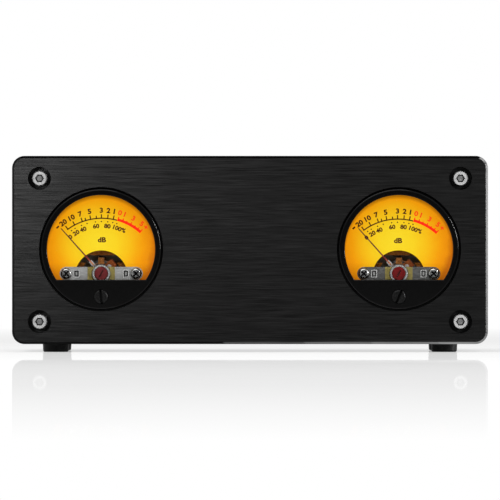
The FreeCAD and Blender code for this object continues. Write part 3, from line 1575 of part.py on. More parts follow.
def switch_rocker():
    """The rocker: round ends about its pivot, and a face with a shallow valley."""
    part = new_body("switch_rocker")
    lift = "(sqrt(dims.rocker_r ^ 2 - dims.rocker_end ^ 2))"
    foot_x = "(sqrt(dims.rocker_r ^ 2 - dims.rocker_foot ^ 2))"
    profile = sketch_on(part, "YZ_Plane", "-dims.rocker_w / 2")
    shoulders = [
        ("-dims.rocker_foot", f"-{foot_x}"),
        (lift, "-dims.rocker_end"),
        ("dims.rocker_mid", "0"),
        (lift, "dims.rocker_end"),
        ("-dims.rocker_foot", foot_x),
    ]
    outline(profile, shoulders)
    pad(part, profile, "dims.rocker_w", up=True)
    rounds = (
        (shoulders[0], shoulders[1], "-1"),
        (shoulders[3], shoulders[4], "1"),
    )
    for start, end, sign in rounds:
        profile = sketch_on(part, "YZ_Plane", "-dims.rocker_w / 2")
        bulge(profile, start, end, sign)
        pad(part, profile, "dims.rocker_w", up=True)
    reach = "(dims.rocker_w / 2 + dims.rocker_gap + dims.rocker_pin_reach - dims.fit_gap)"
    profile = circle(sketch_on(part, "YZ_Plane", f"-{reach}"), "dims.rocker_pin_r")
    pad(part, profile, f"2 * {reach}", up=True)
    place(part, SWITCH_X, f"{REAR_FACE_Y} + dims.switch_flange_t - dims.rocker_set", PANEL_Z)
    return keep(turn(part, Vector(1, 0, 0), "dims.rocker_tilt"))


def bulge(profile, start, end, sign):
    """The round stretch between two corners, an arc about the origin closed by its chord."""
    a = Vector(number(start[0]), number(start[1]), 0)
    b = Vector(number(end[0]), number(end[1]), 0)
    radius = number("dims.rocker_r")
    angles = sorted(math.atan2(v.y, v.x) for v in (a, b))
    arc = profile.addGeometry(
        Part.ArcOfCircle(Part.Circle(Vector(0, 0, 0), Vector(0, 0, 1), radius), *angles), False
    )
    first, second = profile.getPoint(arc, 2), profile.getPoint(arc, 1)
    line = profile.addGeometry(Part.LineSegment(first, second), False)
    profile.addConstraint(Sketcher.Constraint("Coincident", arc, 2, line, 1))
    profile.addConstraint(Sketcher.Constraint("Coincident", line, 2, arc, 1))
    profile.addConstraint(Sketcher.Constraint("Coincident", arc, 3, -1, 1))
    set_radius(profile, arc, "dims.rocker_r")
    low, high = (start, end) if abs(first.y - a.y) < 1e-6 else (end, start)
    for point, corner in ((1, low), (2, high)):
        rule = Sketcher.Constraint("DistanceX", -1, 1, line, point, number(corner[0]))
        index = profile.addConstraint(rule)
        profile.setExpression(f"Constraints[{index}]", corner[0])
    return profile


def level_control():
    """The level control behind the rear panel, with its threaded bush and nut outside."""
    bore = "(dims.shaft_r + dims.shaft_gap)"
    part = turned(
        "level_control",
        [
            (bore, "dims.pot_nut_t + dims.bush_stand"),
            ("dims.bush_r", "dims.pot_nut_t + dims.bush_stand"),
            ("dims.bush_r", "dims.pot_nut_t"),
            ("dims.pot_nut_r", "dims.pot_nut_t"),
            ("dims.pot_nut_r", "0"),
            ("dims.bush_r", "0"),
            ("dims.bush_r", "-dims.rear_t"),
            ("dims.pot_body_r", "-dims.rear_t"),
            ("dims.pot_body_r", "-dims.rear_t - dims.pot_body_t"),
            ("0", "-dims.rear_t - dims.pot_body_t"),
            ("0", "-dims.rear_t - dims.shaft_bite"),
            (bore, "-dims.rear_t - dims.shaft_bite"),
        ],
    )
    return keep(place(part, f"-{KNOB_X}", REAR_FACE_Y, PANEL_Z))


def level_shaft():
    end = "(-dims.rear_t - dims.shaft_bite + dims.end_play)"
    part = turned(
        "level_shaft",
        [("0", end), ("dims.shaft_r", end), ("dims.shaft_r", "dims.shaft_reach"), ("0", "dims.shaft_reach")],
    )
    return keep(place(part, f"-{KNOB_X}", REAR_FACE_Y, PANEL_Z))


def level_knob():
    """The knob: hollow over the bush nut, with a bore for the shaft and a mark cut in its side."""
    bore = "(dims.shaft_r + dims.shaft_gap)"
    hollow = "(dims.pot_nut_r + dims.knob_clear)"
    base, top = "dims.knob_clear", "dims.knob_reach"
    roof = "(dims.pot_nut_t + dims.bush_stand + dims.knob_clear)"
    part = turned(
        "level_knob",
        [
            (hollow, base),
            ("dims.knob_r", base),
            ("dims.knob_r", f"{top} - dims.knob_edge"),
            ("dims.knob_r - dims.knob_edge", top),
            ("0", top),
            ("0", "dims.shaft_reach + dims.shaft_gap"),
            (bore, "dims.shaft_reach + dims.shaft_gap"),
            (bore, roof),
            (hollow, roof),
        ],
    )
    profile = sketch_on(part, "XZ_Plane", f"{top} - dims.knob_groove")
    half = "dims.knob_groove"
    rectangle(profile, f"-{half}", half, "dims.knob_mark_start", "dims.knob_r + dims.knob_groove")
    pocket(part, profile, "dims.knob_groove")
    return keep(place(part, f"-{KNOB_X}", REAR_FACE_Y, PANEL_Z))


# ---------------------------------------------------------------- assembly


def build_case():
    front_panel()
    spots = screw_places()
    group("panel_screws", [cap_screw(f"panel_screw_{n}", *spot) for n, spot in enumerate(spots)])
    upper_shell()
    lower_shell()
    rear_panel()
    group("rear_screws", [button_screw(f"rear_screw_{n}", *spot) for n, spot in enumerate(spots)])
    ends = (f"{CASE_Y} + dims.foot_inset", f"{REAR_Y} - dims.foot_inset")
    feet = [
        foot(f"foot_{n}_{side}", f"{side} * ({CASE_HALF_W} - dims.foot_side_inset)", y)
        for n, y in enumerate(ends)
        for side in (-1, 1)
    ]
    group("feet", feet)


def build_meters():
    sides = ((-1, "left"), (1, "right"))
    for side, prefix in sides:
        for piece in (
            bezel,
            lens,
            meter_shell,
            dial_plate,
            front_bridge,
            jewel_screw,
            zero_screw,
            zero_arm,
            hairspring,
            pivot_staff,
            balance_cross,
            needle,
            moving_coil,
            yoke,
        ):
            piece(side, prefix)
    for label, piece in (
        ("insulating_plates", insulating_plate),
        ("jewel_nuts", jewel_nut),
        ("core_magnets", core_magnet),
        ("core_strips", core_strip),
        ("backlights", backlight),
        ("rear_bridges", rear_bridge),
        ("clamp_rings", clamp_ring),
    ):
        group(label, [piece(f"{label}_{prefix}", side) for side, prefix in sides])
    for label, piece in (
        ("bridge_keys", bridge_key),
        ("bridge_pillars", bridge_pillar),
        ("bridge_screws", bridge_screw),
        ("meter_terminals", terminal),
    ):
        pairs = [(side, prefix, sign) for side, prefix in sides for sign in (-1, 1)]
        group(label, [piece(f"{label}_{prefix}_{sign + 1}", side, sign) for side, prefix, sign in pairs])
    ears = [ear for side, _ in sides for ear in ear_places(side)]
    group("clamp_screws", [clamp_screw(f"clamp_screw_{n}", *ear) for n, ear in enumerate(ears)])


def build_electronics():
    driver_board()
    group("board_capacitors", [capacitor(f"capacitor_{step + 1}", step) for step in (-1, 0, 1)])
    group("board_chips", [chip(f"chip_{side + 1}", side) for side in (-1, 1)])
    group("meter_leads", meter_leads())
    group("rear_leads", rear_leads())
    spots = jack_places()
    group("signal_jacks", [signal_jack(f"jack_{n}", *spot) for n, spot in enumerate(spots)])
    group("jack_inserts", [jack_insert(f"insert_{n}", *spot) for n, spot in enumerate(spots)])
    power_inlet()
    switch_housing()
    switch_rocker()
    level_control()
    level_shaft()
    level_knob()


def check_model():
    """Stops if a feature failed, a cut removed nothing, or a sub-part isn't a sound solid."""
    for item in doc.Objects:
        if any(flag in ("Invalid", "Error") for flag in item.State):
            raise RuntimeError(f"{item.Name} failed: {item.State}")
        if item.TypeId == "PartDesign::Pocket":
            if item.BaseFeature.Shape.Volume - item.Shape.Volume < 1e-6:
                raise RuntimeError(f"{item.Name} cuts nothing")
    for part in NODES:
        if part.Shape.isNull() or not part.Shape.isValid() or not part.Shape.Solids:
            raise RuntimeError(f"{part.Label} isn't a sound solid")


def write_parts():
    os.makedirs("parts", exist_ok=True)
    for part in NODES:
        part.Shape.exportStep(f"parts/{part.Label}.step")


build_case()
build_meters()
build_electronics()
doc.recompute()
check_model()
write_parts()
print(len(NODES), "sub-parts written")
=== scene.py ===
# %% [markdown]
# # A twin-dial level meter, dressed in Blender
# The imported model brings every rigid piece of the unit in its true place: the panels, the case, the two
# moving-coil meters with their movements, and the fittings behind. What it lacks is the look. This script
# gives every piece its finish, prints the two scales, adds the small marks, and lights the unit on a white
# sweep.

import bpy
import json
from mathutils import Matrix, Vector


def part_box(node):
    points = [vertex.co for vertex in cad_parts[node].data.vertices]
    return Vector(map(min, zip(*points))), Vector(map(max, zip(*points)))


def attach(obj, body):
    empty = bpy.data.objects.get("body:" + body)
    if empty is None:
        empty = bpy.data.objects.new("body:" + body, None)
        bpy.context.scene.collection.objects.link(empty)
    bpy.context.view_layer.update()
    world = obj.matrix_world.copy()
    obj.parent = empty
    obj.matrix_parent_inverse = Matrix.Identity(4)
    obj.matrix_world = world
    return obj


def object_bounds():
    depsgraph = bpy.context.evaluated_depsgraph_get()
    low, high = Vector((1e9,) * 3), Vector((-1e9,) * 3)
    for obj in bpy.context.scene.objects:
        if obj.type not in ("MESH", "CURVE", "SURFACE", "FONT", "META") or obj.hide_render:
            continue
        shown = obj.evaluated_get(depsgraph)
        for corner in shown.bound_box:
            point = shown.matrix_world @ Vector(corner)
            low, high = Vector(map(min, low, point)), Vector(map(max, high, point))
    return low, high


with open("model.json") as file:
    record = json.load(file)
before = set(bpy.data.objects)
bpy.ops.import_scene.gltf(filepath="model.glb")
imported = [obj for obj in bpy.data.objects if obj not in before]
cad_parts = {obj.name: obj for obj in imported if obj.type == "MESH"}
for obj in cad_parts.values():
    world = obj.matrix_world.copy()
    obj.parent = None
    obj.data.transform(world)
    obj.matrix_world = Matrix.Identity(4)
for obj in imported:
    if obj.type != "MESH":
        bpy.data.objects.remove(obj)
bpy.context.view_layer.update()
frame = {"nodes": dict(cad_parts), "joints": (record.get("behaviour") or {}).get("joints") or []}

# %% Tools and units
import json
import math

import bpy
from mathutils import Matrix, Vector

MM = 0.001
bpy.ops.object.select_all(action="DESELECT")

# %% [markdown]
# Most places below are read from the frame, so the looks follow the model if a size changes. Each meter is
# described by the middle of its bezel, its pivot axis, and the depth of its dial face. Y grows towards the
# back of the unit, so the front of a piece is its lowest Y.


# %% Where things are
def middle(node):
    low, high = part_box(node)
    return (low + high) / 2


def front(node):
    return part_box(node)[0].y


SIDES = ("left", "right")
CENTRES = {side: middle(side + "_bezel") for side in SIDES}
AXES = {side: middle(side + "_jewel_screw") for side in SIDES}
JOINTS = {joint["name"]: Vector(joint["pos_m"]) for joint in frame["joints"]}
PANEL_FRONT, DIAL_FRONT = front("front_panel"), front("left_dial_plate")
print("meters at x =", [round(CENTRES[side].x / MM, 2) for side in SIDES], "mm")

# %% [markdown]
# ## The finish kit
# A finish is a small tree of nodes. Each one starts from the piece's own Object coordinates, counted in
# millimetres, so a pattern has a real size and stays on the piece when it moves. Image textures could do
# this too, but nodes stay sharp at any distance and need no unwrapping.


# %% Trees of nodes
def join_up(*pairs):
    for output, socket in pairs:
        socket.id_data.links.new(output, socket)


def add_node(beside, kind, **settings):
    """A node of that kind, with its properties set, in the tree that a node or a socket belongs to."""
    node = beside.id_data.nodes.new("ShaderNode" + kind)
    for name, value in settings.items():
        setattr(node, name, value)
    return node


def shader_of(material):
    return material.node_tree.nodes["Principled BSDF"]


def new_finish(name, metallic=0.0, specular=0.5):
    """An empty finish: the material, its shader, and the piece's coordinates in millimetres."""
    material = bpy.data.materials.new(name)
    material.use_nodes = True
    shader = shader_of(material)
    shader.inputs["Metallic"].default_value = metallic
    shader.inputs["Specular IOR Level"].default_value = specular
    coords, scale = add_node(shader, "TexCoord"), add_node(shader, "Mapping")
    scale.inputs["Scale"].default_value = (1 / MM,) * 3
    join_up((coords.outputs["Object"], scale.inputs["Vector"]))
    return material, shader, scale.outputs["Vector"]


# %% [markdown]
# No real surface has one even tone. A noise, stretched the way the tool ran, stands for the grain that is
# left on a piece. It mottles the colour between two tones, and mapped to a range of numbers it varies the
# gloss.

# %% Grain and tones
NOISE_SPAN = (0.3, 0.7)  # nearly all of a noise lies in it


def grain(place, per_mm, detail=2.0):
    """A noise with so many cells per millimetre: one number for all axes, or one for each."""
    stretch, noise = add_node(place, "Mapping"), add_node(place, "TexNoise")
    stretch.inputs["Scale"].default_value = per_mm if isinstance(per_mm, tuple) else (per_mm,) * 3
    noise.inputs["Scale"].default_value = 1
    noise.inputs["Detail"].default_value = detail
    join_up((place, stretch.inputs["Vector"]), (stretch.outputs["Vector"], noise.inputs["Vector"]))
    return noise.outputs["Fac"]


def ramp(factor, stops):
    """Colours along a factor, each stop a place and a colour."""
    node = add_node(factor, "ValToRGB")
    elements = node.color_ramp.elements
    while len(elements) < len(stops):
        elements.new(1)
    for element, (place, colour) in zip(elements, stops):
        element.position = place
        element.color = (*colour, 1)
    join_up((factor, node.inputs["Fac"]))
    return node.outputs["Color"]


def two_tones(factor, dark, light):
    """A noise as two colours that run into each other."""
    return ramp(factor, list(zip(NOISE_SPAN, (dark, light))))


def stretch_range(factor, low, high, source=NOISE_SPAN):
    """Maps a noise, or whatever fills the source range, to a range of numbers."""
    node = add_node(factor, "MapRange")
    for name, value in zip(("From Min", "From Max", "To Min", "To Max"), (*source, low, high)):
        node.inputs[name].default_value = value
    join_up((factor, node.inputs["Value"]))
    return node.outputs["Result"]


# %% [markdown]
# A pattern that has an edge, such as a slot or a socket, is worked out from the coordinates by arithmetic.
# These helpers take outputs and plain numbers alike, so a line of code reads almost as the sum would.


# %% Arithmetic on a pattern
def maths(operation, one, other=0.0):
    """One step of arithmetic on two outputs, or on an output and a plain number."""
    plain = (int, float)
    node = add_node(other if isinstance(one, plain) else one, "Math", operation=operation)
    for value, socket in zip((one, other), node.inputs):
        if isinstance(value, plain):
            socket.default_value = value
        else:
            join_up((value, socket))
    return node.outputs["Value"]


def product(*factors):
    """Outputs and plain numbers, multiplied one after the other."""
    result = factors[0]
    for factor in factors[1:]:
        result = maths("MULTIPLY", result, factor)
    return result


def xyz(vector):
    """The three coordinates of a vector."""
    split = add_node(vector, "SeparateXYZ")
    join_up((vector, split.inputs["Vector"]))
    return split.outputs


# %% [markdown]
# Most pieces of the unit take the same kind of finish. Metals and plastics differ in a few numbers, and the
# size and the direction of the grain make each finish its own.


# %% Whole finishes
def grey(level):
    return (level,) * 3


def emboss(shader, height, depth, strength=1.0):
    """Bumps a shader by a height map, whose full depth is given in millimetres."""
    node = add_node(shader, "Bump")
    node.inputs["Strength"].default_value = strength
    node.inputs["Distance"].default_value = depth * MM
    join_up((height, node.inputs["Height"]), (node.outputs["Normal"], shader.inputs["Normal"]))


def surface(name, dark, light, per_mm, rough, metallic=0.0, specular=0.5, speck=3, depth=0.01):
    """The finish most pieces take: two tones along a grain, a varied gloss, and a fine bump."""
    material, shader, place = new_finish(name, metallic, specular)
    tone = grain(place, per_mm)
    fine = grain(place, speck)
    join_up(
        (two_tones(tone, dark, light), shader.inputs["Base Color"]),
        (stretch_range(tone, *rough), shader.inputs["Roughness"]),
    )
    emboss(shader, fine, depth)
    return material


def metal(name, dark, light, per_mm, rough, **bump):
    return surface(name, dark, light, per_mm, rough, metallic=1.0, **bump)


def dress(material, *nodes):
    """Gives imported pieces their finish."""
    for node in nodes:
        for slot in frame["nodes"][node].material_slots:
            slot.material = material
    print(material.name, "on", ", ".join(nodes))


# %% [markdown]
# ## The case
# The front panel is a thick aluminium plate, brushed and then anodised black. Anodising keeps the metal's
# sheen and colours it, so the shader stays metallic with a nearly black tone. A bare metal turns silver at
# a glancing angle, but the dyed layer doesn't, so its edge colour is held back. The chamfers are cut more
# finely than the face is brushed, so they are a little paler and glossier. The finish knows a chamfer by
# its slant.

# %% Black anodising and cut chamfers
EDGE_SHINE = 0.5
SLANTED = (0.3, 0.95)


def hold_dark(material):
    """Keeps a dark metal from turning silver at a glancing angle."""
    shader_of(material).inputs["Specular Tint"].default_value = (*grey(EDGE_SHINE), 1)
    return material


def facing(shader):
    """The Y part of the way a face looks: -1 to the front and 1 to the back."""
    coords = next(node for node in shader.id_data.nodes if node.type == "TEX_COORD")
    return xyz(coords.outputs["Normal"])["Y"]


def cut_mask(shader):
    """1 on the cut chamfers, which neither face the front nor stand square to it, and 0 elsewhere."""
    slant = maths("ABSOLUTE", facing(shader))
    return product(maths("GREATER_THAN", slant, SLANTED[0]), maths("LESS_THAN", slant, SLANTED[1]))


# %% [markdown]
# The face was drawn across a belt so that every scratch runs along X. Two noises make the brushing: one
# long and hair-fine, one a little wider, because a belt leaves both.

# %% Brushed black panel
BRUSH_FINE = (0.1, 3.0, 6.0)
BRUSH_WIDE = (0.045, 1.2, 2.3)
FINE_SHARE, WIDE_SHARE = 0.6, 0.4
BRUSH_TONES = (0.32, 0.68)
BRUSH_DEPTH = 0.009
CUT_LIFT, CUT_GLOSS = 1.3, 0.5
PANEL_DARK, PANEL_LIGHT = grey(0.0043), grey(0.0102)


def brushed_black(name, dark, light, rough):
    material, shader, place = new_finish(name, metallic=1.0)
    fine, wide = grain(place, BRUSH_FINE, 3.0), grain(place, BRUSH_WIDE)
    both = maths("ADD", product(fine, FINE_SHARE), product(wide, WIDE_SHARE))
    tone = ramp(both, list(zip(BRUSH_TONES, (dark, light))))
    lifted = add_node(shader, "VectorMath", operation="SCALE")
    cut = cut_mask(shader)
    gloss = maths("SUBTRACT", 1, product(cut, 1 - CUT_GLOSS))
    shader.inputs["Anisotropic"].default_value = 0.55
    join_up(
        (tone, lifted.inputs["Vector"]),
        (stretch_range(cut, 1.0, CUT_LIFT, (0, 1)), lifted.inputs["Scale"]),
        (lifted.outputs["Vector"], shader.inputs["Base Color"]),
        (product(stretch_range(fine, *rough), gloss), shader.inputs["Roughness"]),
    )
    emboss(shader, both, BRUSH_DEPTH, strength=0.6)
    return hold_dark(material)


dress(brushed_black("brushed_black_panel", PANEL_DARK, PANEL_LIGHT, (0.34, 0.46)), "front_panel")

# %% [markdown]
# The case behind it is extruded, so its faint die lines run along Y, and it is blasted before it is
# anodised, which leaves it duller than the panel. The rear panel is a punched sheet with the same blasted
# skin.

# %% Extruded shells and rear panel
DIE_LINES = (2.5, 0.02, 2.5)
extruded = metal(
    "anodised_extrusion", grey(0.010), grey(0.016), DIE_LINES, (0.42, 0.55), speck=6, depth=0.008
)
dress(hold_dark(extruded), "upper_shell", "lower_shell")
sheet_black = metal("blasted_rear_panel", grey(0.010), grey(0.017), 1, (0.45, 0.6), speck=7)
dress(hold_dark(sheet_black), "rear_panel")

# %% [markdown]
# The feet are moulded rubber: nearly black, with a soft shine where a lamp passes and the faint mottling of
# the mould.

# %% Feet
rubber = surface("foot_rubber", grey(0.03), grey(0.04), 1.2, (0.4, 0.5), specular=0.06, depth=0.02)
dress(rubber, "feet")

# %% [markdown]
# The screws have turned heads with a six-sided socket. The four in front are polished steel, the four
# behind are blackened. A turned face carries fine rings, so the roughness is low and the rings make the
# look. The socket is drawn with painted shade: its walls and corners are nearly black and the middle of
# its floor is less dark, and that is what makes it readable from afar. The screws of a panel stand in a
# symmetrical pattern, so the coordinates are folded twice and one socket serves all.


# %% Folds and circles
def fold(value, centre):
    """The distance of a coordinate from a line of symmetry, so that one pattern serves both sides of it."""
    return maths("ABSOLUTE", maths("SUBTRACT", value, centre))


def reach(across, up):
    """How far out from an axis a point lies that is so far across and so far up from it."""
    squares = [product(leg, leg) for leg in (across, up)]
    return maths("SQRT", maths("ADD", *squares))


# %% Screw heads
SCREW_HEAD_R = 2.85
SOCKET_WALL, SOCKET_FLOOR, SOCKET_PLAY = 0.42, 0.5, 0.02
SOCKET_SHADE = 0.04
SMUDGE = 0.12
RINGS_PER_MM = 42
COS_30, SIN_30 = math.cos(math.radians(30)), math.sin(math.radians(30))


def socket_heads(node, name, dark, light, flats):
    """Turned heads with a socket of that width across its flats, which lie above and below."""
    material, shader, place = new_finish(name, metallic=1.0)
    x, _, z = xyz(place)
    spread = (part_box(node)[1] - middle(node)) / MM
    across = fold(fold(x, middle(node).x / MM), spread.x - SCREW_HEAD_R)
    up = fold(fold(z, middle(node).z / MM), spread.z - SCREW_HEAD_R)
    slanted = maths("ADD", product(across, COS_30), product(up, SIN_30))
    edge = maths("MAXIMUM", up, slanted)
    # Painted shade: the socket's walls and corners are painted nearly black, and its floor less dark.
    hollow = maths("LESS_THAN", edge, flats / 2 + SOCKET_PLAY)
    floor = maths("LESS_THAN", edge, flats / 2 - SOCKET_WALL)
    shadow = maths("SUBTRACT", hollow, product(floor, SOCKET_FLOOR))
    smudge = stretch_range(grain(place, 1.2), 0.0, SMUDGE)
    rings = maths("SINE", product(reach(across, up), RINGS_PER_MM))
    stops = [(0.0, light), (0.15, dark), (1.0, [level * SOCKET_SHADE for level in dark])]
    join_up(
        (ramp(maths("ADD", shadow, smudge), stops), shader.inputs["Base Color"]),
        (stretch_range(smudge, 0.24, 0.3, (0.0, SMUDGE)), shader.inputs["Roughness"]),
    )
    emboss(shader, rings, 0.004)
    return material


dress(socket_heads("panel_screws", "polished_steel", grey(0.44), grey(0.6), flats=2.8), "panel_screws")
dress(socket_heads("rear_screws", "blackened_heads", grey(0.03), grey(0.05), flats=2.0), "rear_screws")

# %% [markdown]
# The screws of the clamp rings hide inside the case. They are plain blackened steel. A few parts of the
# movements further down take the same finish, which there also stands in for shade.

# %% Blackened steel
blackened = metal("blackened_steel", grey(0.02), grey(0.05), 3, (0.28, 0.42), depth=0.004)
dress(blackened, "clamp_screws")

# %% [markdown]
# ## The faces of the meters
# The bezels and their masks are moulded in black plastic. Moulded plastic is smooth but never quite even:
# it has a low, wide orange-peel and a slightly varied gloss.

# %% Bezels and masks
moulded = surface(
    "moulded_black", grey(0.003), grey(0.0036), 1.5, (0.07, 0.085), specular=0.1, depth=0.0005
)
dress(moulded, "left_bezel", "right_bezel")

# %% [markdown]
# The slotted zero screws are black plastic too, but they are handled, so their edge is worn round. A bump
# that falls off with the square of the way to the edge gives that round edge, and a lamp at the side draws
# a fine bright arc in it. The slot is too deep for the lamps, so only the face shines. What is drawn about
# an axis needs a finish for each meter, because the two axes lie apart.


# %% Axes and pairs
def about(place, axis):
    """How far across and up a point lies from an axis along Y, which is given in metres."""
    across, _, up = xyz(place)
    return maths("SUBTRACT", across, axis.x / MM), maths("SUBTRACT", up, axis.z / MM)


def dress_both(make_finish, piece):
    """Gives that piece of each meter a finish of its own."""
    for side in SIDES:
        dress(make_finish(side), side + "_" + piece)


# %% Zero screws
PLUG_ROUND, PLUG_FALL = (2.05, 2.6), 0.36
PLUG_SHINE, SLOT_LIP = 0.12, 0.25


def slotted_plug(side):
    material, shader, place = new_finish(side + "_plug_black")
    face = maths("LESS_THAN", xyz(place)["Y"], front(side + "_zero_screw") / MM + SLOT_LIP)
    out = reach(*about(place, JOINTS[side + "_zero_turn"]))
    edge = stretch_range(out, 0, 1, PLUG_ROUND)
    worn = grain(place, 2.5)
    join_up(
        (two_tones(worn, grey(0.004), grey(0.009)), shader.inputs["Base Color"]),
        (stretch_range(worn, 0.2, 0.32), shader.inputs["Roughness"]),
        (product(face, PLUG_SHINE), shader.inputs["Specular IOR Level"]),
    )
    emboss(shader, maths("SUBTRACT", 1, product(edge, edge)), PLUG_FALL)
    return material


dress_both(slotted_plug, "zero_screw")

# %% [markdown]
# The window is a thin clear plate. It only has to shine, not to bend light, so a thin coat of reflection
# lies over plain transparency, and its shadow is clear. Only its outer faces shine, because a ray that
# isn't bent would be trapped between two shining ones.

# %% Clear windows
WINDOW_TINT = (0.985, 0.985, 0.98, 1)
WINDOW_IOR = 1.1


def clear_window():
    material, shader, place = new_finish("clear_window")
    nodes, output = material.node_tree.nodes, material.node_tree.nodes["Material Output"]
    clear, gloss = add_node(shader, "BsdfTransparent"), add_node(shader, "BsdfGlossy")
    edge, mix = add_node(shader, "Fresnel"), add_node(shader, "MixShader")
    clear.inputs["Color"].default_value = WINDOW_TINT
    edge.inputs["IOR"].default_value = WINDOW_IOR
    outside = maths("SUBTRACT", 1, add_node(shader, "NewGeometry").outputs["Backfacing"])
    smear = grain(place, 0.08)
    join_up(
        (stretch_range(smear, 0.02, 0.08), gloss.inputs["Roughness"]),
        (product(edge.outputs["Fac"], outside), mix.inputs["Fac"]),
        (clear.outputs["BSDF"], mix.inputs[1]),
        (gloss.outputs["BSDF"], mix.inputs[2]),
        (mix.outputs["Shader"], output.inputs["Surface"]),
    )
    nodes.remove(shader)
    return material


dress(clear_window(), "left_lens", "right_lens")

# %% [markdown]
# The dial is a translucent amber plate lit from behind by three lamps. The glow is painted light, given off
# by the face itself. The painted glow is strongest a little above the movement, sinks towards the rim and
# the mask, and is darker towards the bottom. A painted shadow of the bezel darkens the rim, more at the
# top.
# The distance from the bright point, turned into a ramp of ambers, gives that shape without any lamp
# inside, and a part of the colour stays on the surface for the light from outside, so the surface colour
# follows the same painted glow.


# %% Ambers
def paint(red, green, blue):
    """A colour written as a screen shows it, from 0 to 255, in the linear numbers that shaders want."""
    shares = [value / 255 for value in (red, green, blue)]
    return tuple(s / 12.92 if s <= 0.04045 else ((s + 0.055) / 1.055) ** 2.4 for s in shares)


AMBERS = [
    (0.0, paint(255, 224, 42)),
    (0.32, paint(255, 216, 34)),
    (0.55, paint(255, 196, 22)),
    (0.76, paint(254, 166, 8)),
    (0.9, paint(246, 150, 8)),
    (1.0, paint(206, 112, 12)),
]

# %% Glowing dials
GLOW_POINT = (-1.2, 2.5)
GLOW_REACH = 21.5
GLOW_STRENGTH = 0.82
GLOW_FLOOR, GLOW_DUSK = (-13.0, -5.0), 0.45
RIM_SHADE, RIM_DROP, RIM_DUSK = (19.6, 20.8), 1.1, 0.45
SURFACE_SHARE = 0.25
FACE_LIMIT = -0.5


def glowing_dial(side):
    material, shader, place = new_finish(side + "_dial_glow", specular=0.1)
    # The glow of the face is painted light, brightest about this point.
    glow_axis = CENTRES[side] + Vector((GLOW_POINT[0], 0, GLOW_POINT[1])) * MM
    across, up = about(place, glow_axis)
    distance = maths("DIVIDE", reach(across, up), GLOW_REACH)
    cloud = stretch_range(grain(place, 0.25), -0.02, 0.02)
    amber = ramp(maths("ADD", distance, cloud), AMBERS)
    low, high = (level - GLOW_POINT[1] for level in GLOW_FLOOR)
    # Painted shade: the glow is darker towards the bottom.
    dusk = stretch_range(up, GLOW_DUSK, 1.0, (low, high))
    fibres = stretch_range(grain(place, 5), 0.97, 1.03)
    # A painted shadow of the bezel along the rim, deeper at the top.
    rim_axis = CENTRES[side] - Vector((0, 0, RIM_DROP * MM))
    shade = stretch_range(reach(*about(place, rim_axis)), 1.0, RIM_DUSK, RIM_SHADE)
    face = maths("LESS_THAN", facing(shader), FACE_LIMIT)
    level = product(dusk, fibres, GLOW_STRENGTH, shade, face)
    tint = add_node(shader, "Mix", data_type="RGBA", blend_type="MULTIPLY")
    tint.inputs["Factor"].default_value = 1
    tint.inputs["B"].default_value = (*grey(SURFACE_SHARE), 1)
    join_up(
        (amber, tint.inputs["A"]),
        (tint.outputs["Result"], shader.inputs["Base Color"]),
        (amber, shader.inputs["Emission Color"]),
        (level, shader.inputs["Emission Strength"]),
    )
    shader.inputs["Roughness"].default_value = 0.6
    emboss(shader, grain(place, 4), 0.004)
    return material


dress_both(glowing_dial, "dial_plate")
print("dial faces glow around", GLOW_POINT, "mm from their middles")

# %% [markdown]
# ## The scale
# The scale is ink on the dial face. It could be drawn inside the material, but real outlines stay crisp, so
# it is made of very thin solids that lie on the plate. All of them turn about one point below the dial's
# middle, the centre of the scale. Each mark is modelled upright above the origin and then turned to its
# angle, as a dial maker would step it round a plate. Plain numbers run from 20 down to 5 over, with a
# percent scale below.

# %% Scale sizes, in millimetres and degrees from upright
INK = 0.04
SCALE_CENTRES = {"left": (0.2, -10.1), "right": (-0.26, -10.4)}
LINE_RADIUS = 21.4
LINE_W, BAND_W = 0.42, 1.0
LINE_START, BAND_START, BAND_END = -36.6, 15.4, 41.2
TALL, SHORT, TICK_W = 1.3, 0.8, 0.42
DARK_TICKS = ((-35.9, TALL), (-27.9, TALL), (-19.6, TALL), (-16.1, SHORT), (-11.1, TALL))
DARK_TICKS += ((-5.3, SHORT), (-0.4, TALL), (5.8, TALL), (11.4, TALL))
RED_TICKS = ((16.0, 1.6), (20.6, 1.6), (24.6, 1.3), (29.0, 1.6), (33.5, 1.3), (37.4, 1.6), (40.9, 1.7))
NUMBER_RADIUS, NUMBER_H = 24.6, 1.95
DARK_NUMBERS = (("20", -35.8), ("10", -27.8), ("7", -19.4), ("5", -10.8), ("3", -0.4), ("2", 5.8))
DARK_NUMBERS += (("1", 10.9), ("-", -42.0))
RED_NUMBERS = (("0", 16.0), ("1", 20.4), ("3", 28.7), ("5", 37.3), ("+", 42.0))
SIGN_WIDTHS = {"-": 1.1, "+": 1.4}
DOT_RADIUS, DOT_R = 20.4, 0.25
DOTS = (-33.6, -29.2, -21.9, -15.6, -6.7, -0.5, 6.2, 11.5, 15.9)
PERCENT_RADIUS, PERCENT_H = 18.8, 1.7
PERCENTS = (("0", -38.6), ("20", -30.6), ("40", -21.7), ("60", -6.6), ("80", 6.3), ("100%", 19.7))
UNIT = (("dB", 0),)
UNIT_RADIUS, UNIT_H = 13.6, 1.95
WIDEN = 1.1
STROKE = 0.04
print("each scale runs from", LINE_START, "to", BAND_END, "degrees at a radius of", LINE_RADIUS, "mm")

# %% [markdown]
# Every mark is finished in the same way. Doubles are merged and the faces turned outwards, and then its
# place is left in its mesh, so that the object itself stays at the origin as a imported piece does.


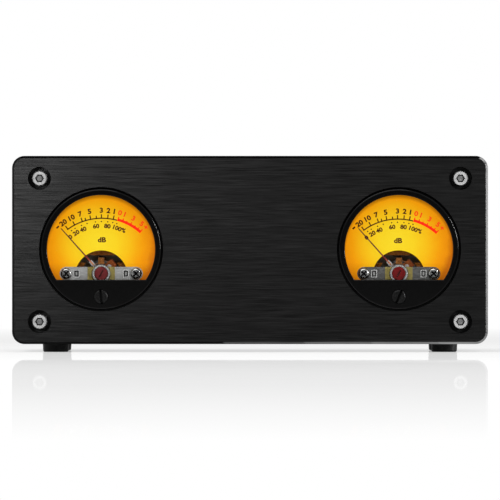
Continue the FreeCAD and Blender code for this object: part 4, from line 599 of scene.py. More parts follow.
# %% Finishing and placing a mark
def finished(piece, name):
    """Names a new piece, makes its faces point outwards and leaves nothing selected."""
    bpy.ops.object.mode_set(mode="EDIT")
    bpy.ops.mesh.select_all(action="SELECT")
    bpy.ops.mesh.remove_doubles(threshold=1e-7)
    bpy.ops.mesh.normals_make_consistent(inside=False)
    bpy.ops.object.mode_set(mode="OBJECT")
    bpy.ops.object.select_all(action="DESELECT")
    piece.name = name
    return piece


def set_place(piece, matrix):
    """Moves a piece by a matrix, leaves the place in its mesh, and gives the piece back."""
    bpy.ops.object.select_all(action="DESELECT")
    piece.select_set(True)
    bpy.context.view_layer.objects.active = piece
    piece.matrix_world = matrix @ piece.matrix_world
    bpy.ops.object.transform_apply()
    piece.select_set(False)
    return piece


def on_scale(side, angle):
    """The matrix that carries an upright mark to its angle on that meter's scale."""
    (across, up), centre = SCALE_CENTRES[side], CENTRES[side]
    spot = Vector((centre.x + across * MM, DIAL_FRONT, centre.z + up * MM))
    return Matrix.Translation(spot) @ Matrix.Rotation(math.radians(angle), 4, "Y")


# %% [markdown]
# An ink bar starts as a plane the size of its foot, which is extruded to its length. The long lines start
# as their own cross-section, standing on edge, and are spun about the scale's centre.


# %% Bars and lines of ink
def ink_bar(width, start, length):
    """A bar of ink that rises from the height start, upright above the origin."""
    bpy.ops.mesh.primitive_plane_add(size=1, location=(0, -INK / 2 * MM, start * MM))
    piece = bpy.context.object
    piece.scale = (width * MM, INK * MM, 1)
    bpy.ops.object.transform_apply()
    bpy.ops.object.mode_set(mode="EDIT")
    bpy.ops.mesh.extrude_region_move(TRANSFORM_OT_translate={"value": (0, 0, length * MM)})
    return finished(piece, "ink_bar")


def ink_line(width, start, end):
    """A curved line of ink between two angles, on the scale's line radius, about the origin."""
    bpy.ops.mesh.primitive_plane_add(size=1, rotation=(0, math.radians(90), 0))
    piece = bpy.context.object
    piece.scale = (width * MM, INK * MM, 1)
    piece.location = (0, -INK / 2 * MM, (LINE_RADIUS + width / 2) * MM)
    bpy.ops.object.transform_apply()
    set_place(piece, Matrix.Rotation(math.radians(start), 4, "Y"))
    bpy.ops.object.mode_set(mode="EDIT")
    bpy.ops.mesh.select_all(action="SELECT")
    sweep = math.radians(end - start)
    bpy.ops.mesh.spin(steps=max(8, round(end - start)), angle=-sweep, center=(0, 0, 0), axis=(0, 1, 0))
    return finished(piece, "ink_line")


# %% [markdown]
# A dot is a filled circle, extruded by the thickness of the ink. Text is typed with Blender's own font,
# made a mesh, and scaled to the height of the print.


# %% Dots and words of ink
def ink_dot(radius, height):
    place, upright = (0, 0, height * MM), (math.radians(90), 0, 0)
    bpy.ops.mesh.primitive_circle_add(
        vertices=14, radius=radius * MM, fill_type="NGON", location=place, rotation=upright
    )
    piece = bpy.context.object
    bpy.ops.object.transform_apply()
    bpy.ops.object.mode_set(mode="EDIT")
    bpy.ops.mesh.extrude_region_move(TRANSFORM_OT_translate={"value": (0, -INK * MM, 0)})
    return finished(piece, "ink_dot")


def ink_text(words, height, radius):
    """Words of ink, upright, with their middle at that height above the origin."""
    bpy.ops.object.text_add()
    text = bpy.context.object
    text.data.body = words
    text.data.align_x, text.data.align_y = "CENTER", "CENTER"
    text.data.resolution_u = 4
    text.data.extrude = INK / 2
    text.data.offset = STROKE
    bpy.ops.object.convert(target="MESH")
    piece = bpy.context.object
    if words in SIGN_WIDTHS:
        size = SIGN_WIDTHS[words] / piece.dimensions.x * MM
    else:
        size = height / piece.dimensions.y * MM
    heights = [v.co.y for v in piece.data.vertices]
    lift = Matrix.Translation((0, -(min(heights) + max(heights)) / 2, 0))
    shape = Matrix.Diagonal((size * WIDEN, size, MM, 1))
    stand = Matrix.Rotation(math.radians(90), 4, "X")
    set_place(piece, Matrix.Translation((0, -INK / 2 * MM, radius * MM)) @ stand @ shape @ lift)
    bpy.context.view_layer.objects.active = piece
    return finished(piece, "ink_text")


# %% [markdown]
# Dark ink blocks most of the light behind it and only just glows. Red ink lets more of it through. That
# light is painted, as on the dial: the inks give off a glow of their own. Both have the slight mottling
# of screen print.


# %% Inks
def light_up(material, colour, strength=0.0):
    """Makes a finish glow. A strength that varies is joined up afterwards."""
    shader = shader_of(material)
    shader.inputs["Emission Color"].default_value = (*colour, 1)
    shader.inputs["Emission Strength"].default_value = strength


def ink(name, dark, light, glow):
    material = surface(name, dark, light, 6, (0.5, 0.7), specular=0.2, depth=0.003)
    # The glow of the ink is painted light.
    light_up(material, light, glow)
    return material


dark_ink = ink("dark_ink", paint(64, 8, 14), paint(82, 12, 16), glow=0.12)
red_ink = ink("red_ink", paint(214, 26, 10), paint(240, 40, 16), glow=0.8)
red_number_ink = ink("red_number_ink", paint(214, 52, 12), paint(240, 66, 16), glow=0.8)
print("inks:", dark_ink.name, red_ink.name, red_number_ink.name)

# %% [markdown]
# A dial is printed one ink at a time, so the marks of each ink are joined into one piece. It rides on the
# case, as the dial plate does.


# %% Printed pieces
def joined(marks, name):
    """Marks joined into one piece."""
    bpy.ops.object.select_all(action="DESELECT")
    for mark in marks:
        mark.select_set(True)
    bpy.context.view_layer.objects.active = marks[0]
    if len(marks) > 1:
        bpy.ops.object.join()
    print(name, "has", len(marks), "marks")
    return finished(marks[0], name)


def dial_print(name, marks, material):
    """Marks joined into one printed piece that rides on the case."""
    piece = joined(marks, name)
    piece.data.materials.append(material)
    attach(piece, "case")


def words_round(side, places, height, radius):
    """Words of ink, each turned to its angle on that meter's scale."""
    return [set_place(ink_text(words, height, radius), on_scale(side, angle)) for words, angle in places]


# %% The two printed scales
for side in SIDES:
    dark = [set_place(ink_line(LINE_W, LINE_START, BAND_START), on_scale(side, 0))]
    for angle, length in DARK_TICKS:
        dark.append(set_place(ink_bar(TICK_W, LINE_RADIUS, length + LINE_W), on_scale(side, angle)))
    for angle in DOTS:
        dark.append(set_place(ink_dot(DOT_R, DOT_RADIUS), on_scale(side, angle)))
    dark += words_round(side, DARK_NUMBERS, NUMBER_H, NUMBER_RADIUS)
    dark += words_round(side, PERCENTS, PERCENT_H, PERCENT_RADIUS)
    dark += words_round(side, UNIT, UNIT_H, UNIT_RADIUS)
    dial_print(side + "_scale_print", dark, dark_ink)
    red = [set_place(ink_line(BAND_W, BAND_START, BAND_END), on_scale(side, 0))]
    for angle, length in RED_TICKS:
        red.append(set_place(ink_bar(TICK_W, LINE_RADIUS, length), on_scale(side, angle)))
    dial_print(side + "_scale_band", red, red_ink)
    over = words_round(side, RED_NUMBERS, NUMBER_H, NUMBER_RADIUS)
    dial_print(side + "_scale_over", over, red_number_ink)

# %% [markdown]
# ## The movement behind the window
# Most of it hides behind the dial, but the half-moon opening shows the working end: a bright bridge bar
# across the middle, the red-lacquered jewel screw in its lock nut, and a strip of khaki board. The bars are
# blanked from sheet and barrel-polished, so the steel is soft rather than mirror-like. The right-hand bar
# is given a darker tone than the left.

# %% Bridges and lock nuts
ROLLED = (0.6, 3, 4)
bright_bar = metal("bright_bridge", grey(0.29), grey(0.39), ROLLED, (0.3, 0.42), speck=8, depth=0.006)
# A darker copy of the same steel, for the right-hand bar.
darker_bar = metal("darker_bridge", grey(0.07), grey(0.12), ROLLED, (0.3, 0.44), speck=8, depth=0.006)
dress(bright_bar, "left_front_bridge")
dress(darker_bar, "right_front_bridge")
nickel = metal("nickel", grey(0.46), grey(0.56), 2, (0.18, 0.26), speck=6, depth=0.0015)
dress(nickel, "jewel_nuts")

# %% [markdown]
# The jewel screws are sealed with red lacquer once the movement runs true. It hides the metal, so the
# finish is that of the lacquer alone, with a soft, uneven skin. The left one is given a paler red.

# %% Jewel screws
LACQUERS = {
    "left": (paint(104, 34, 38), paint(126, 44, 46)),
    "right": (paint(108, 12, 14), paint(134, 18, 18)),
}
SLOT_TOP, SLOT_DEEP = 0.1, 0.4


def lacquered_screw(side):
    """Red sealing lacquer, with painted shade in the slot."""
    material, shader, place = new_finish(side + "_lacquer", specular=0.15)
    edge, cloud = front(side + "_jewel_screw") / MM, grain(place, 1.5)
    # Painted shade: the slot is darker the deeper it goes.
    slot = stretch_range(xyz(place)["Y"], 0, 1, (edge + SLOT_TOP, edge + SLOT_DEEP))
    tone = maths("SUBTRACT", cloud, slot)
    dark, light = LACQUERS[side]
    stops = [(0.0, [level * 0.3 for level in dark]), (0.3, dark), (0.7, light)]
    join_up(
        (ramp(tone, stops), shader.inputs["Base Color"]),
        (stretch_range(cloud, 0.3, 0.4), shader.inputs["Roughness"]),
    )
    emboss(shader, grain(place, 3), 0.03)
    return material


dress_both(lacquered_screw, "jewel_screw")

# %% [markdown]
# The strip of board behind the bar is a laminate of paper and resin. Its fibres lie along X, so the grain
# is long that way and short the others.

# %% Insulating plates
LAMINATE = (0.7, 5, 5)
KHAKIS = (paint(122, 108, 44), paint(158, 144, 76))
dress(surface("khaki_board", *KHAKIS, LAMINATE, (0.5, 0.7), specular=0.3, depth=0.008), "insulating_plates")

# %% [markdown]
# The small screws of the bridges are nickelled, with a cross recess that is set slantwise. The recess is
# drawn in the finish as a bump, with painted shade that makes it nearly black. Their pattern is folded
# like that of the panel screws: once across the unit, and once more across each bridge.

# %% Bridge screws
BRIDGE_SCREW_X = 13.0
CROSS_HALF, CROSS_REACH = 0.42, 1.35
HEAD_WEAR = 0.3


def crossed_heads():
    material, shader, place = new_finish("bridge_screw_heads", metallic=1.0)
    x, _, z = xyz(place)
    axis = AXES["right"] / MM
    across = fold(fold(fold(x, 0), axis.x), BRIDGE_SCREW_X)
    up = fold(z, axis.z)
    arms = maths("LESS_THAN", fold(maths("SUBTRACT", across, up), 0), CROSS_HALF)
    inside = maths("LESS_THAN", reach(across, up), CROSS_REACH)
    # The recess mask, which also carries the painted shade of the recess.
    recess = product(arms, inside)
    wear = stretch_range(grain(place, 4), 0.0, HEAD_WEAR)
    stops = [(0.0, grey(0.34)), (HEAD_WEAR, grey(0.14)), (1.0, grey(0.008))]
    join_up(
        (ramp(maths("ADD", recess, wear), stops), shader.inputs["Base Color"]),
        (stretch_range(wear, 0.16, 0.26, (0.0, HEAD_WEAR)), shader.inputs["Roughness"]),
    )
    emboss(shader, maths("SUBTRACT", 1, recess), 0.15)
    return material


dress(crossed_heads(), "bridge_screws")

# %% [markdown]
# Each bridge also has two windows with a plated key staked into each. Plating stays bright on the rim,
# where it is rubbed, and the hollow is darkened with painted shade, so the tone follows the depth behind
# the front.

# %% Bridge keys
KEY_HOLLOW = 0.7
KEY_TONES = [(0.12, grey(0.78)), (0.3, grey(0.34)), (0.6, grey(0.26)), (0.9, grey(0.02))]


def key_plating():
    material, shader, place = new_finish("key_plating", metallic=1.0)
    edge = front("bridge_keys") / MM
    # Painted shade: the deeper a point lies, the darker the tone.
    depth = stretch_range(xyz(place)["Y"], 0, 1, (edge, edge + KEY_HOLLOW))
    stain = stretch_range(grain(place, 4), -0.06, 0.06)
    join_up(
        (ramp(maths("ADD", depth, stain), KEY_TONES), shader.inputs["Base Color"]),
        (stretch_range(depth, 0.22, 0.5, (0, 1)), shader.inputs["Roughness"]),
    )
    emboss(shader, grain(place, 8), 0.002)
    return material


dress(key_plating(), "bridge_keys")

# %% [markdown]
# The needle is a thin aluminium blade painted dark red. Its root is made paler with painted light, the
# glow of the dial as it would show on it, and the whole needle gives off a faint painted glow. The paint
# follows the distance from the pivot axis, so each needle is measured in its own place.

# %% Needles
NEEDLE_LENGTH = 24
# A faint painted glow over the whole needle.
NEEDLE_GLOW = 0.12
# The pale stops at the root are painted light.
NEEDLE_TONES = [
    (0.12, paint(214, 150, 96)),
    (0.3, paint(140, 40, 24)),
    (0.5, paint(92, 10, 12)),
    (1.0, paint(70, 4, 10)),
]


def needle_paint(side):
    material, shader, place = new_finish(side + "_needle_paint", specular=0.35)
    mottle = stretch_range(grain(place, 2), -0.6, 0.6)
    length = maths("ADD", reach(*about(place, AXES[side])), mottle)
    tone = ramp(maths("DIVIDE", length, NEEDLE_LENGTH), NEEDLE_TONES)
    join_up((tone, shader.inputs["Base Color"]), (tone, shader.inputs["Emission Color"]))
    shader.inputs["Emission Strength"].default_value = NEEDLE_GLOW
    shader.inputs["Roughness"].default_value = 0.42
    emboss(shader, grain(place, 6), 0.004)
    return material


dress_both(needle_paint, "needle")

# %% [markdown]
# The rest of the movement: soft iron for the yoke, whose brown is painted light, the tint that the lamps
# give it; a ground magnet core; brass for the small turned parts; bronze for the hairspring; drawn steel
# for the staff; and aluminium for the balance cross and the clamp rings.

# %% Iron, magnet, brass and bronze
# The brown of these tones is painted light: the amber tint of the lamps on grey iron.
AMBER_LIT_IRONS = (paint(104, 56, 14), paint(136, 82, 24))
dress(surface("yoke_iron", *AMBER_LIT_IRONS, 0.8, (0.38, 0.52), metallic=0.85, depth=0.02), "left_yoke", "right_yoke")
GROUND = (1.5, 0.1, 1.5)
dress(metal("ground_magnet", grey(0.05), grey(0.12), GROUND, (0.3, 0.45), depth=0.01), "core_magnets")
brass = metal("brass", paint(196, 156, 82), paint(222, 184, 108), 1, (0.22, 0.32), depth=0.002)
dress(brass, "bridge_pillars", "meter_terminals")
# These parts take the blackened finish, which also stands in for the shade in the open slot of the yoke.
dress(blackened, "core_strips", "rear_bridges")
bronze = metal("spring_bronze", paint(112, 68, 34), paint(150, 98, 54), 2, (0.25, 0.4), depth=0.003)
dress(bronze, "left_hairspring", "right_hairspring", "left_zero_arm", "right_zero_arm")
DRAWN = (1, 8, 1)
staff = metal("staff_steel", grey(0.35), grey(0.5), DRAWN, (0.15, 0.28), depth=0.003)
dress(staff, "left_pivot_staff", "right_pivot_staff")
cross = metal("cross_aluminium", grey(0.42), grey(0.56), 2, (0.3, 0.42), depth=0.006)
dress(cross, "left_balance_cross", "right_balance_cross", "clamp_rings")

# %% [markdown]
# The coil is wound of enamelled copper wire. The windings run across it, so its copper is banded along the
# direction that the coil points at rest.

# %% Wound coils
REST_ANGLE = -41.7
COPPERS = [(0.1, paint(104, 44, 22)), (0.8, paint(214, 118, 62))]
WINDING_SCALE, WINDING_WANDER = 1.6, 0.4


def coil_windings(side):
    material, shader, place = new_finish(side + "_windings", metallic=0.75)
    turn = add_node(shader, "Mapping")
    waves = add_node(shader, "TexWave", wave_type="BANDS", bands_direction="X")
    turn.inputs["Rotation"].default_value = (0, math.radians(-REST_ANGLE), 0)
    waves.inputs["Scale"].default_value = WINDING_SCALE
    waves.inputs["Distortion"].default_value = WINDING_WANDER
    join_up((place, turn.inputs["Vector"]), (turn.outputs["Vector"], waves.inputs["Vector"]))
    join_up((ramp(waves.outputs["Fac"], COPPERS), shader.inputs["Base Color"]))
    shader.inputs["Roughness"].default_value = 0.35
    emboss(shader, waves.outputs["Fac"], 0.06)
    return material


dress_both(coil_windings, "moving_coil")

# %% [markdown]
# The shell of a meter is moulded in white plastic, to throw the lamps' light forward. The light inside it
# is
# painted: the shell glows a warm cream towards the front and turns to plain white at the back, where the
# light ends. The lamp boards are white circuit boards, and the light of their three lamps is painted as a
# faint glow on the boards.

# %% Lit shells
SHELL_GLOW = 0.02


def lit_shell(side):
    material, shader, place = new_finish(side + "_shell_white", specular=0.3)
    shell_front, shell_back = (corner.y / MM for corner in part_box(side + "_meter_shell"))
    span = (shell_front, (shell_front + shell_back) / 2)
    # Painted glow, strongest at the front of the shell.
    inside = stretch_range(xyz(place)["Y"], 1.0, 0.0, span)
    white = two_tones(grain(place, 0.6), paint(228, 224, 214), paint(240, 237, 229))
    light_up(material, paint(255, 186, 92))
    join_up(
        (white, shader.inputs["Base Color"]),
        (product(inside, SHELL_GLOW), shader.inputs["Emission Strength"]),
    )
    shader.inputs["Roughness"].default_value = 0.45
    emboss(shader, grain(place, 1.5), 0.02)
    return material


dress_both(lit_shell, "meter_shell")

# %% Lamp boards
BOARD_GLOW = 0.05
lamp_board = surface("lamp_board", paint(226, 220, 200), paint(244, 240, 226), 1, (0.4, 0.55))
# Painted glow on the board, for the light of its lamps.
light_up(lamp_board, paint(255, 190, 96), BOARD_GLOW)
dress(lamp_board, "backlights")

# %% [markdown]
# ## Inside the case and on its back
# The driver board is glass-fibre laminate under green mask, with the weave just showing. A brick pattern
# serves as the weave, because a plain cloth is rows of short stitches too.


# %% Driver board
def circuit_board():
    material, shader, place = new_finish("circuit_board", specular=0.5)
    weave = add_node(shader, "TexBrick")
    weave.inputs["Scale"].default_value = 0.35
    weave.inputs["Mortar Size"].default_value = 0.03
    weave.inputs["Color1"].default_value = (*paint(14, 66, 40), 1)
    weave.inputs["Color2"].default_value = (*paint(18, 78, 48), 1)
    weave.inputs["Mortar"].default_value = (*paint(34, 104, 66), 1)
    join_up(
        (place, weave.inputs["Vector"]),
        (weave.outputs["Color"], shader.inputs["Base Color"]),
        (stretch_range(grain(place, 1), 0.25, 0.4), shader.inputs["Roughness"]),
    )
    emboss(shader, weave.outputs["Fac"], 0.02)
    return material


dress(circuit_board(), "driver_board")

# %% [markdown]
# The parts on the board take their usual skins: shrunk sleeves round the capacitors, moulded epoxy round
# the chips, and soft red jackets on the leads.

# %% Parts on the board
sleeve = surface("capacitor_sleeve", paint(22, 26, 44), paint(34, 40, 66), (2, 0.4, 2), (0.3, 0.42))
dress(sleeve, "board_capacitors")
dress(surface("chip_epoxy", grey(0.014), grey(0.024), 3, (0.5, 0.65)), "board_chips")
jacket = surface("lead_jacket", paint(120, 20, 18), paint(150, 34, 28), 1, (0.4, 0.5))
dress(jacket, "meter_leads", "rear_leads")

# %% [markdown]
# The fittings on the back are gold-plated jacks, a moulded inlet, a rocker switch, and a level control in a
# plated body. The jacks are told apart by their colour: the upper ones are white inside, the lower ones
# red.

# %% Jacks
gold = metal("gold_plate", paint(196, 152, 70), paint(228, 188, 104), 3, (0.14, 0.26), depth=0.003)
dress(gold, "signal_jacks")


def jack_colours():
    """White for the upper jacks and red for the lower ones, so each pair of channels can be told apart."""
    material, shader, place = new_finish("jack_insert_plastic", specular=0.4)
    upper = maths("GREATER_THAN", xyz(place)["Z"], middle("jack_inserts").z / MM)
    colours = [(0.0, paint(176, 24, 22)), (1.0, paint(228, 226, 218))]
    join_up(
        (ramp(upper, colours), shader.inputs["Base Color"]),
        (stretch_range(grain(place, 2), 0.3, 0.45), shader.inputs["Roughness"]),
    )
    emboss(shader, grain(place, 4), 0.01)
    return material


dress(jack_colours(), "jack_inserts")

# %% Inlet, switch and level control
nylon = surface("black_nylon", grey(0.012), grey(0.022), 2, (0.35, 0.5), depth=0.015)
dress(nylon, "power_inlet", "switch_housing")
dress(surface("rocker_black", grey(0.016), grey(0.028), 1.5, (0.28, 0.4), depth=0.008), "switch_rocker")
zinc = metal("plated_control", grey(0.38), grey(0.52), 2, (0.24, 0.38), depth=0.006)
dress(zinc, "level_control", "level_shaft")

# %% [markdown]
# The knob is turned aluminium with fine straight knurling. The knurl follows the angle about the knob's own
# axis, so its ridges run along Y all the way round. A short white line in the groove shows where it points.

# %% Knurled knob
KNURLS, KNURL_DEPTH = 60, 0.12


def knurled_knob():
    material, shader, place = new_finish("knurled_knob", metallic=1.0)
    angle = maths("ARCTAN2", *about(place, JOINTS["level_turn"]))
    ridges = maths("SINE", product(angle, KNURLS))
    tone = grain(place, (0.5, 3, 0.5))
    join_up(
        (two_tones(tone, grey(0.012), grey(0.022)), shader.inputs["Base Color"]),
        (stretch_range(tone, 0.3, 0.42), shader.inputs["Roughness"]),
    )
    emboss(shader, ridges, KNURL_DEPTH)
    return material


dress(knurled_knob(), "level_knob")

# %% [markdown]
# ## Marks on the back
# White ink marks the back: a short inlay in the knob, a dial of ticks and plain numbers round it, and I and
# O on the two faces of the rocker. Marks on the back are read from behind, so they are turned to face +Y.

# %% White ink
white_ink = surface("white_ink", grey(0.62), grey(0.74), 6, (0.5, 0.65), specular=0.2, depth=0.003)
KNOB_AXIS, ROCKER_PIVOT = JOINTS["level_turn"], JOINTS["power_rock"]
TO_BACK = Matrix.Rotation(math.radians(180), 4, "Z")


def white_mark(name, marks, body):
    """Marks joined into one white piece on that body."""
    piece = joined(marks, name)
    piece.data.materials.append(white_ink)
    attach(piece, body)


# %% [markdown]
# The pointer is a bar of ink like those of the dials, but thick enough to fill most of the groove that is
# cut for it in the knob.

# %% The pointer of the knob
KNOB_START, KNOB_END, GROOVE = 2.65, 7.45, 0.35
POINTER_W, POINTER_FILL = GROOVE * 1.7, GROOVE * 0.8
groove_floor = Matrix.Translation((KNOB_AXIS.x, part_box("level_knob")[1].y - GROOVE * MM, KNOB_AXIS.z))
thicker = Matrix.Diagonal((1, POINTER_FILL / INK, 1, 1))
pointer = set_place(ink_bar(POINTER_W, KNOB_START, KNOB_END - KNOB_START), groove_floor @ TO_BACK @ thicker)
white_mark("knob_pointer", [pointer], "knob")

# %% [markdown]
# The scale round the knob has a tick for every 30 degrees. A turn to the right, seen from behind, is a
# negative angle about Y, so the numbers grow that way. The figures stay upright, so they are moved round
# the knob and not turned.

# %% The scale round the knob
SCALE_SPAN, SCALE_STEP = 150, 30
SCALE_R, SCALE_TICK, SCALE_TICK_W = 9.6, 1.2, 0.4
FIGURES = (("0", 150), ("5", 0), ("10", -150))
FIGURE_R, FIGURE_H = 12.6, 2.0
rear_face = Matrix.Translation(KNOB_AXIS)
level_marks = []
for angle in range(-SCALE_SPAN, SCALE_SPAN + 1, SCALE_STEP):
    turn = Matrix.Rotation(math.radians(angle), 4, "Y")
    level_marks.append(set_place(ink_bar(SCALE_TICK_W, SCALE_R, SCALE_TICK), rear_face @ turn @ TO_BACK))
for words, angle in FIGURES:
    turn = math.radians(angle)
    offset = Matrix.Translation(Vector((math.sin(turn), 0, math.cos(turn))) * FIGURE_R * MM)
    level_marks.append(set_place(ink_text(words, FIGURE_H, 0), offset @ rear_face @ TO_BACK))
white_mark("level_scale", level_marks, "case")

# %% [markdown]
# The rocker rests with its I side pressed in, because the dials are lit. Its two faces meet in a shallow
# valley, so each mark is turned to the slope of its own face, and both follow the rocker's tilt.

# %% The marks of the rocker
ROCKER_TILT, ROCKER_SLOPE = 12.0, 9.8
ROCKER_RISE, ROCKER_REACH, ROCKER_MARK_H = 3.3, 2.3, 1.6
tilt = Matrix.Translation(ROCKER_PIVOT) @ Matrix.Rotation(math.radians(ROCKER_TILT), 4, "X")
rocker_marks = []
for words, end in (("I", 1), ("O", -1)):
    face = Matrix.Translation((0, ROCKER_RISE * MM, end * ROCKER_REACH * MM))
    slope = Matrix.Rotation(math.radians(-end * ROCKER_SLOPE), 4, "X")
    rocker_marks.append(set_place(ink_text(words, ROCKER_MARK_H, 0), tilt @ face @ slope @ TO_BACK))
white_mark("rocker_marks", rocker_marks, "rocker")

# %% [markdown]
# ## The white sweep
# The unit stands on a plain white floor that meets a white world, lit by a broad soft lamp from above and
# in front. The floor is white where the camera sees it, but it still takes the unit's shadow and mirrors it
# faintly.

# %% White paper
PAPER_DARK, PAPER_LIGHT, PAPER_GLOW = grey(0.42), grey(0.46), 0.54
MIRROR_SPAN, MIRROR_ROUGHNESS = (-2560.0, 600.0), 0.012
MIRROR_SHARES = [(0.0, grey(0.0)), (0.71, grey(0.29)), (0.85, grey(0.29)), (1.0, grey(0.0))]
PLAIN_SPAN = (450.0, 1400.0)


def white_seen(beside):
    """The share of rays that see plain white: those of the camera, of gloss and of clear pieces."""
    path = add_node(beside, "LightPath").outputs
    either = maths("MAXIMUM", path["Is Camera Ray"], path["Is Glossy Ray"])
    return maths("MAXIMUM", either, path["Is Transmission Ray"])


def paper():
    """A white floor that takes the unit's shadow, mirrors it faintly, and is plain white farther out."""
    material, shader, place = new_finish("white_paper", specular=0.0)
    output = material.node_tree.nodes["Material Output"]
    away = add_node(shader, "VectorMath", operation="LENGTH")
    glow, plain = add_node(shader, "Emission"), add_node(shader, "Emission")
    lit, mirror = add_node(shader, "AddShader"), add_node(shader, "BsdfGlossy")
    swept, polished = add_node(shader, "MixShader"), add_node(shader, "MixShader")
    mirror.inputs["Color"].default_value = (1, 1, 1, 1)
    mirror.inputs["Roughness"].default_value = MIRROR_ROUGHNESS
    shader.inputs["Roughness"].default_value = 0.6
    fibre = grain(place, 0.05)
    seen = white_seen(shader)
    gloss = ramp(stretch_range(xyz(place)["Y"], 0, 1, MIRROR_SPAN), MIRROR_SHARES)
    join_up(
        (place, away.inputs[0]),
        (two_tones(fibre, PAPER_DARK, PAPER_LIGHT), shader.inputs["Base Color"]),
        (product(seen, PAPER_GLOW), glow.inputs["Strength"]),
        (seen, plain.inputs["Strength"]),
        (shader.outputs["BSDF"], lit.inputs[0]),
        (glow.outputs["Emission"], lit.inputs[1]),
        (stretch_range(away.outputs["Value"], 0, 1, PLAIN_SPAN), swept.inputs["Fac"]),
        (lit.outputs["Shader"], swept.inputs[1]),
        (plain.outputs["Emission"], swept.inputs[2]),
        (gloss, polished.inputs["Fac"]),
        (swept.outputs["Shader"], polished.inputs[1]),
        (mirror.outputs["BSDF"], polished.inputs[2]),
        (polished.outputs["Shader"], output.inputs["Surface"]),
    )
    return material


# %% Floor
FLOOR_WIDTH = 8
bpy.ops.mesh.primitive_plane_add(size=FLOOR_WIDTH, location=(0, 0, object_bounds()[0].z))
floor = bpy.context.object
floor.name = "floor"
floor.data.materials.append(paper())
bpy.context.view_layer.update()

# %% [markdown]
# The world looks white to the camera and to shiny faces, and is dimmer as a source of light, so the unit
# isn't washed out.

# %% World
WORLD_LIGHT, WORLD_SEEN = 0.45, 1.0
world = bpy.data.worlds.new("white_sweep")
bpy.context.scene.world = world
world.use_nodes = True
backdrop = world.node_tree.nodes["Background"]
backdrop.inputs["Color"].default_value = (1, 1, 1, 1)
brightness = stretch_range(white_seen(backdrop), WORLD_LIGHT, WORLD_SEEN, (0, 1))
join_up((brightness, backdrop.inputs["Strength"]))

# %% [markdown]
# The finish of the unit is glossy black, so most of what it shows is a mirror image of the room. Two dark
# cards stand where its glossy faces would mirror the bright studio. Only shiny faces see them.


# %% Dark cards
def flag(place, size, level, tilt=90):
    """A dark card that only shines in glossy faces, so that flat black ones stay black."""
    bpy.ops.mesh.primitive_plane_add(size=1, location=place, rotation=(math.radians(tilt), 0, 0))
    card = bpy.context.object
    card.name = "flag"
    card.scale = (*size, 1)
    material, shader, cloth = new_finish("flag_cloth", specular=0.0)
    glow = stretch_range(grain(cloth, 0.02), level * 0.9, level * 1.1)
    shader.inputs["Base Color"].default_value = (0, 0, 0, 1)
    light_up(material, grey(1))
    join_up((glow, shader.inputs["Emission Strength"]))
    card.data.materials.append(material)
    card.visible_camera = card.visible_diffuse = card.visible_shadow = card.visible_transmission = False


flag(place=(0, -3.0, 0.17), size=(3.0, 0.36), level=0.04)
flag(place=(0, -0.1, 1.4), size=(1.2, 0.7), level=0.05, tilt=0)

# %% [markdown]
# Some lamps only draw sheen. They are kept to the pieces at the front, as barn doors would keep them off
# the rest, so the case stays evenly black from behind.


# %% Kinds of lamps
def takers(name, nodes):
    """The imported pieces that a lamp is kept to."""
    group = bpy.data.collections.new(name)
    for node in nodes:
        group.objects.link(frame["nodes"][node])
    return group


def stands_in_front(node):
    return node == "feet" or (front(node) < DIAL_FRONT and not node.endswith("_shell"))


def lamp_at(name, place, target, size, watts, kept_to=None):
    """A soft lamp. One that is kept to some pieces draws sheen on them and lights nothing else."""
    bpy.ops.object.light_add(type="AREA", location=place)
    light = bpy.context.object
    light.name = name
    light.data.shape = "ELLIPSE" if kept_to else "RECTANGLE"
    light.data.size, light.data.size_y = size
    light.data.energy = watts
    if kept_to:
        light.visible_diffuse = False
        light.light_linking.receiver_collection = kept_to
    light.rotation_euler = (Vector(target) - Vector(place)).to_track_quat("-Z", "Y").to_euler()
    print(light.name, "gives", round(watts, 3), "W")


front_pieces = takers("front_pieces", [node for node in frame["nodes"] if stands_in_front(node)])
panel_alone = takers("panel_alone", ["front_panel"])

# %% [markdown]
# A wide soft lamp overhead and in front does the lighting. The smaller ones draw the sheen: one close on
# the left for that end of the brushed panel; a strip and a top lamp far to the right for the bright line
# down the right chamfer and round its corner; strips on the table for the line along the lower edge, which
# grows towards the right; and one in front on the right for the glints in the movements.

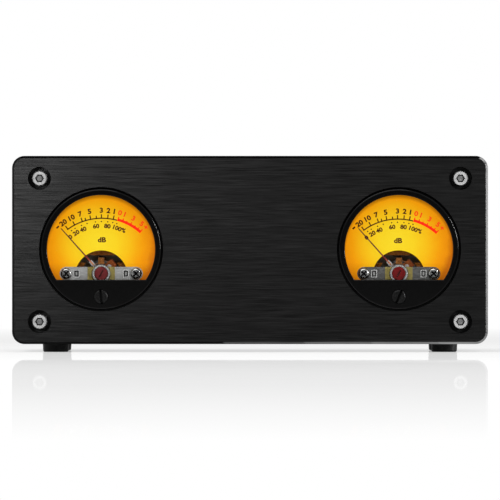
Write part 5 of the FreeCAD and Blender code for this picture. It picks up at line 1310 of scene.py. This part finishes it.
# %% Lamps
PANEL_MIDDLE = middle("front_panel")
LEFT_END = (-0.09, PANEL_FRONT, 0.04)
TABLE_STARTS, TABLE_END = (-0.01, 0.02, 0.045, 0.07), 0.2
TABLE_W, TABLE_LIFT, TABLE_WATTS_PER_METRE = 0.01, 0.001, 0.15
lamp_at("key", (-0.3, -1.1, 1.3), PANEL_MIDDLE, size=(1.2, 1.2), watts=18)
lamp_at("left_sheen", (-0.17, -0.16, 0.09), LEFT_END, size=(0.06, 0.15), watts=2.0, kept_to=panel_alone)
lamp_at("right_strip", (1.3, 0.0, 0.2), PANEL_MIDDLE, size=(0.18, 0.9), watts=33, kept_to=front_pieces)
lamp_at("right_top", (1.0, 0.0, 1.1), PANEL_MIDDLE, size=(0.18, 1.1), watts=38, kept_to=panel_alone)
for start in TABLE_STARTS:
    x, length = (start + TABLE_END) / 2, TABLE_END - start
    place, above = (x, PANEL_FRONT, TABLE_LIFT), (x, PANEL_FRONT, 1)
    lamp_at("table_strip", place, above, (length, TABLE_W), TABLE_WATTS_PER_METRE * length, panel_alone)
lamp_at("right_front", (0.9, -1.0, 0.35), PANEL_MIDDLE, size=(0.12, 0.6), watts=22, kept_to=front_pieces)

# %% [markdown]
# The camera looks from straight in front, only just above the middle, and from far away, so the unit shows
# almost without perspective. Its lens follows from the width that should fill the picture.

# %% Camera
DISTANCE = 6.0
SEEN_WIDTH = 0.18594
EYE_HEIGHT = 0.046
SENSOR = 36
eye = Vector((0, PANEL_FRONT - DISTANCE, EYE_HEIGHT))
target = Vector((0, PANEL_FRONT, PANEL_MIDDLE.z))
bpy.ops.object.camera_add(location=eye)
camera = bpy.context.object
camera.rotation_euler = (target - eye).to_track_quat("-Z", "Y").to_euler()
camera.data.sensor_width = SENSOR
camera.data.lens = SENSOR * DISTANCE / SEEN_WIDTH
scene = bpy.context.scene
scene.camera = camera
scene.view_settings.view_transform = "Standard"
print("camera at", [round(value, 3) for value in eye], "lens", round(camera.data.lens), "mm")
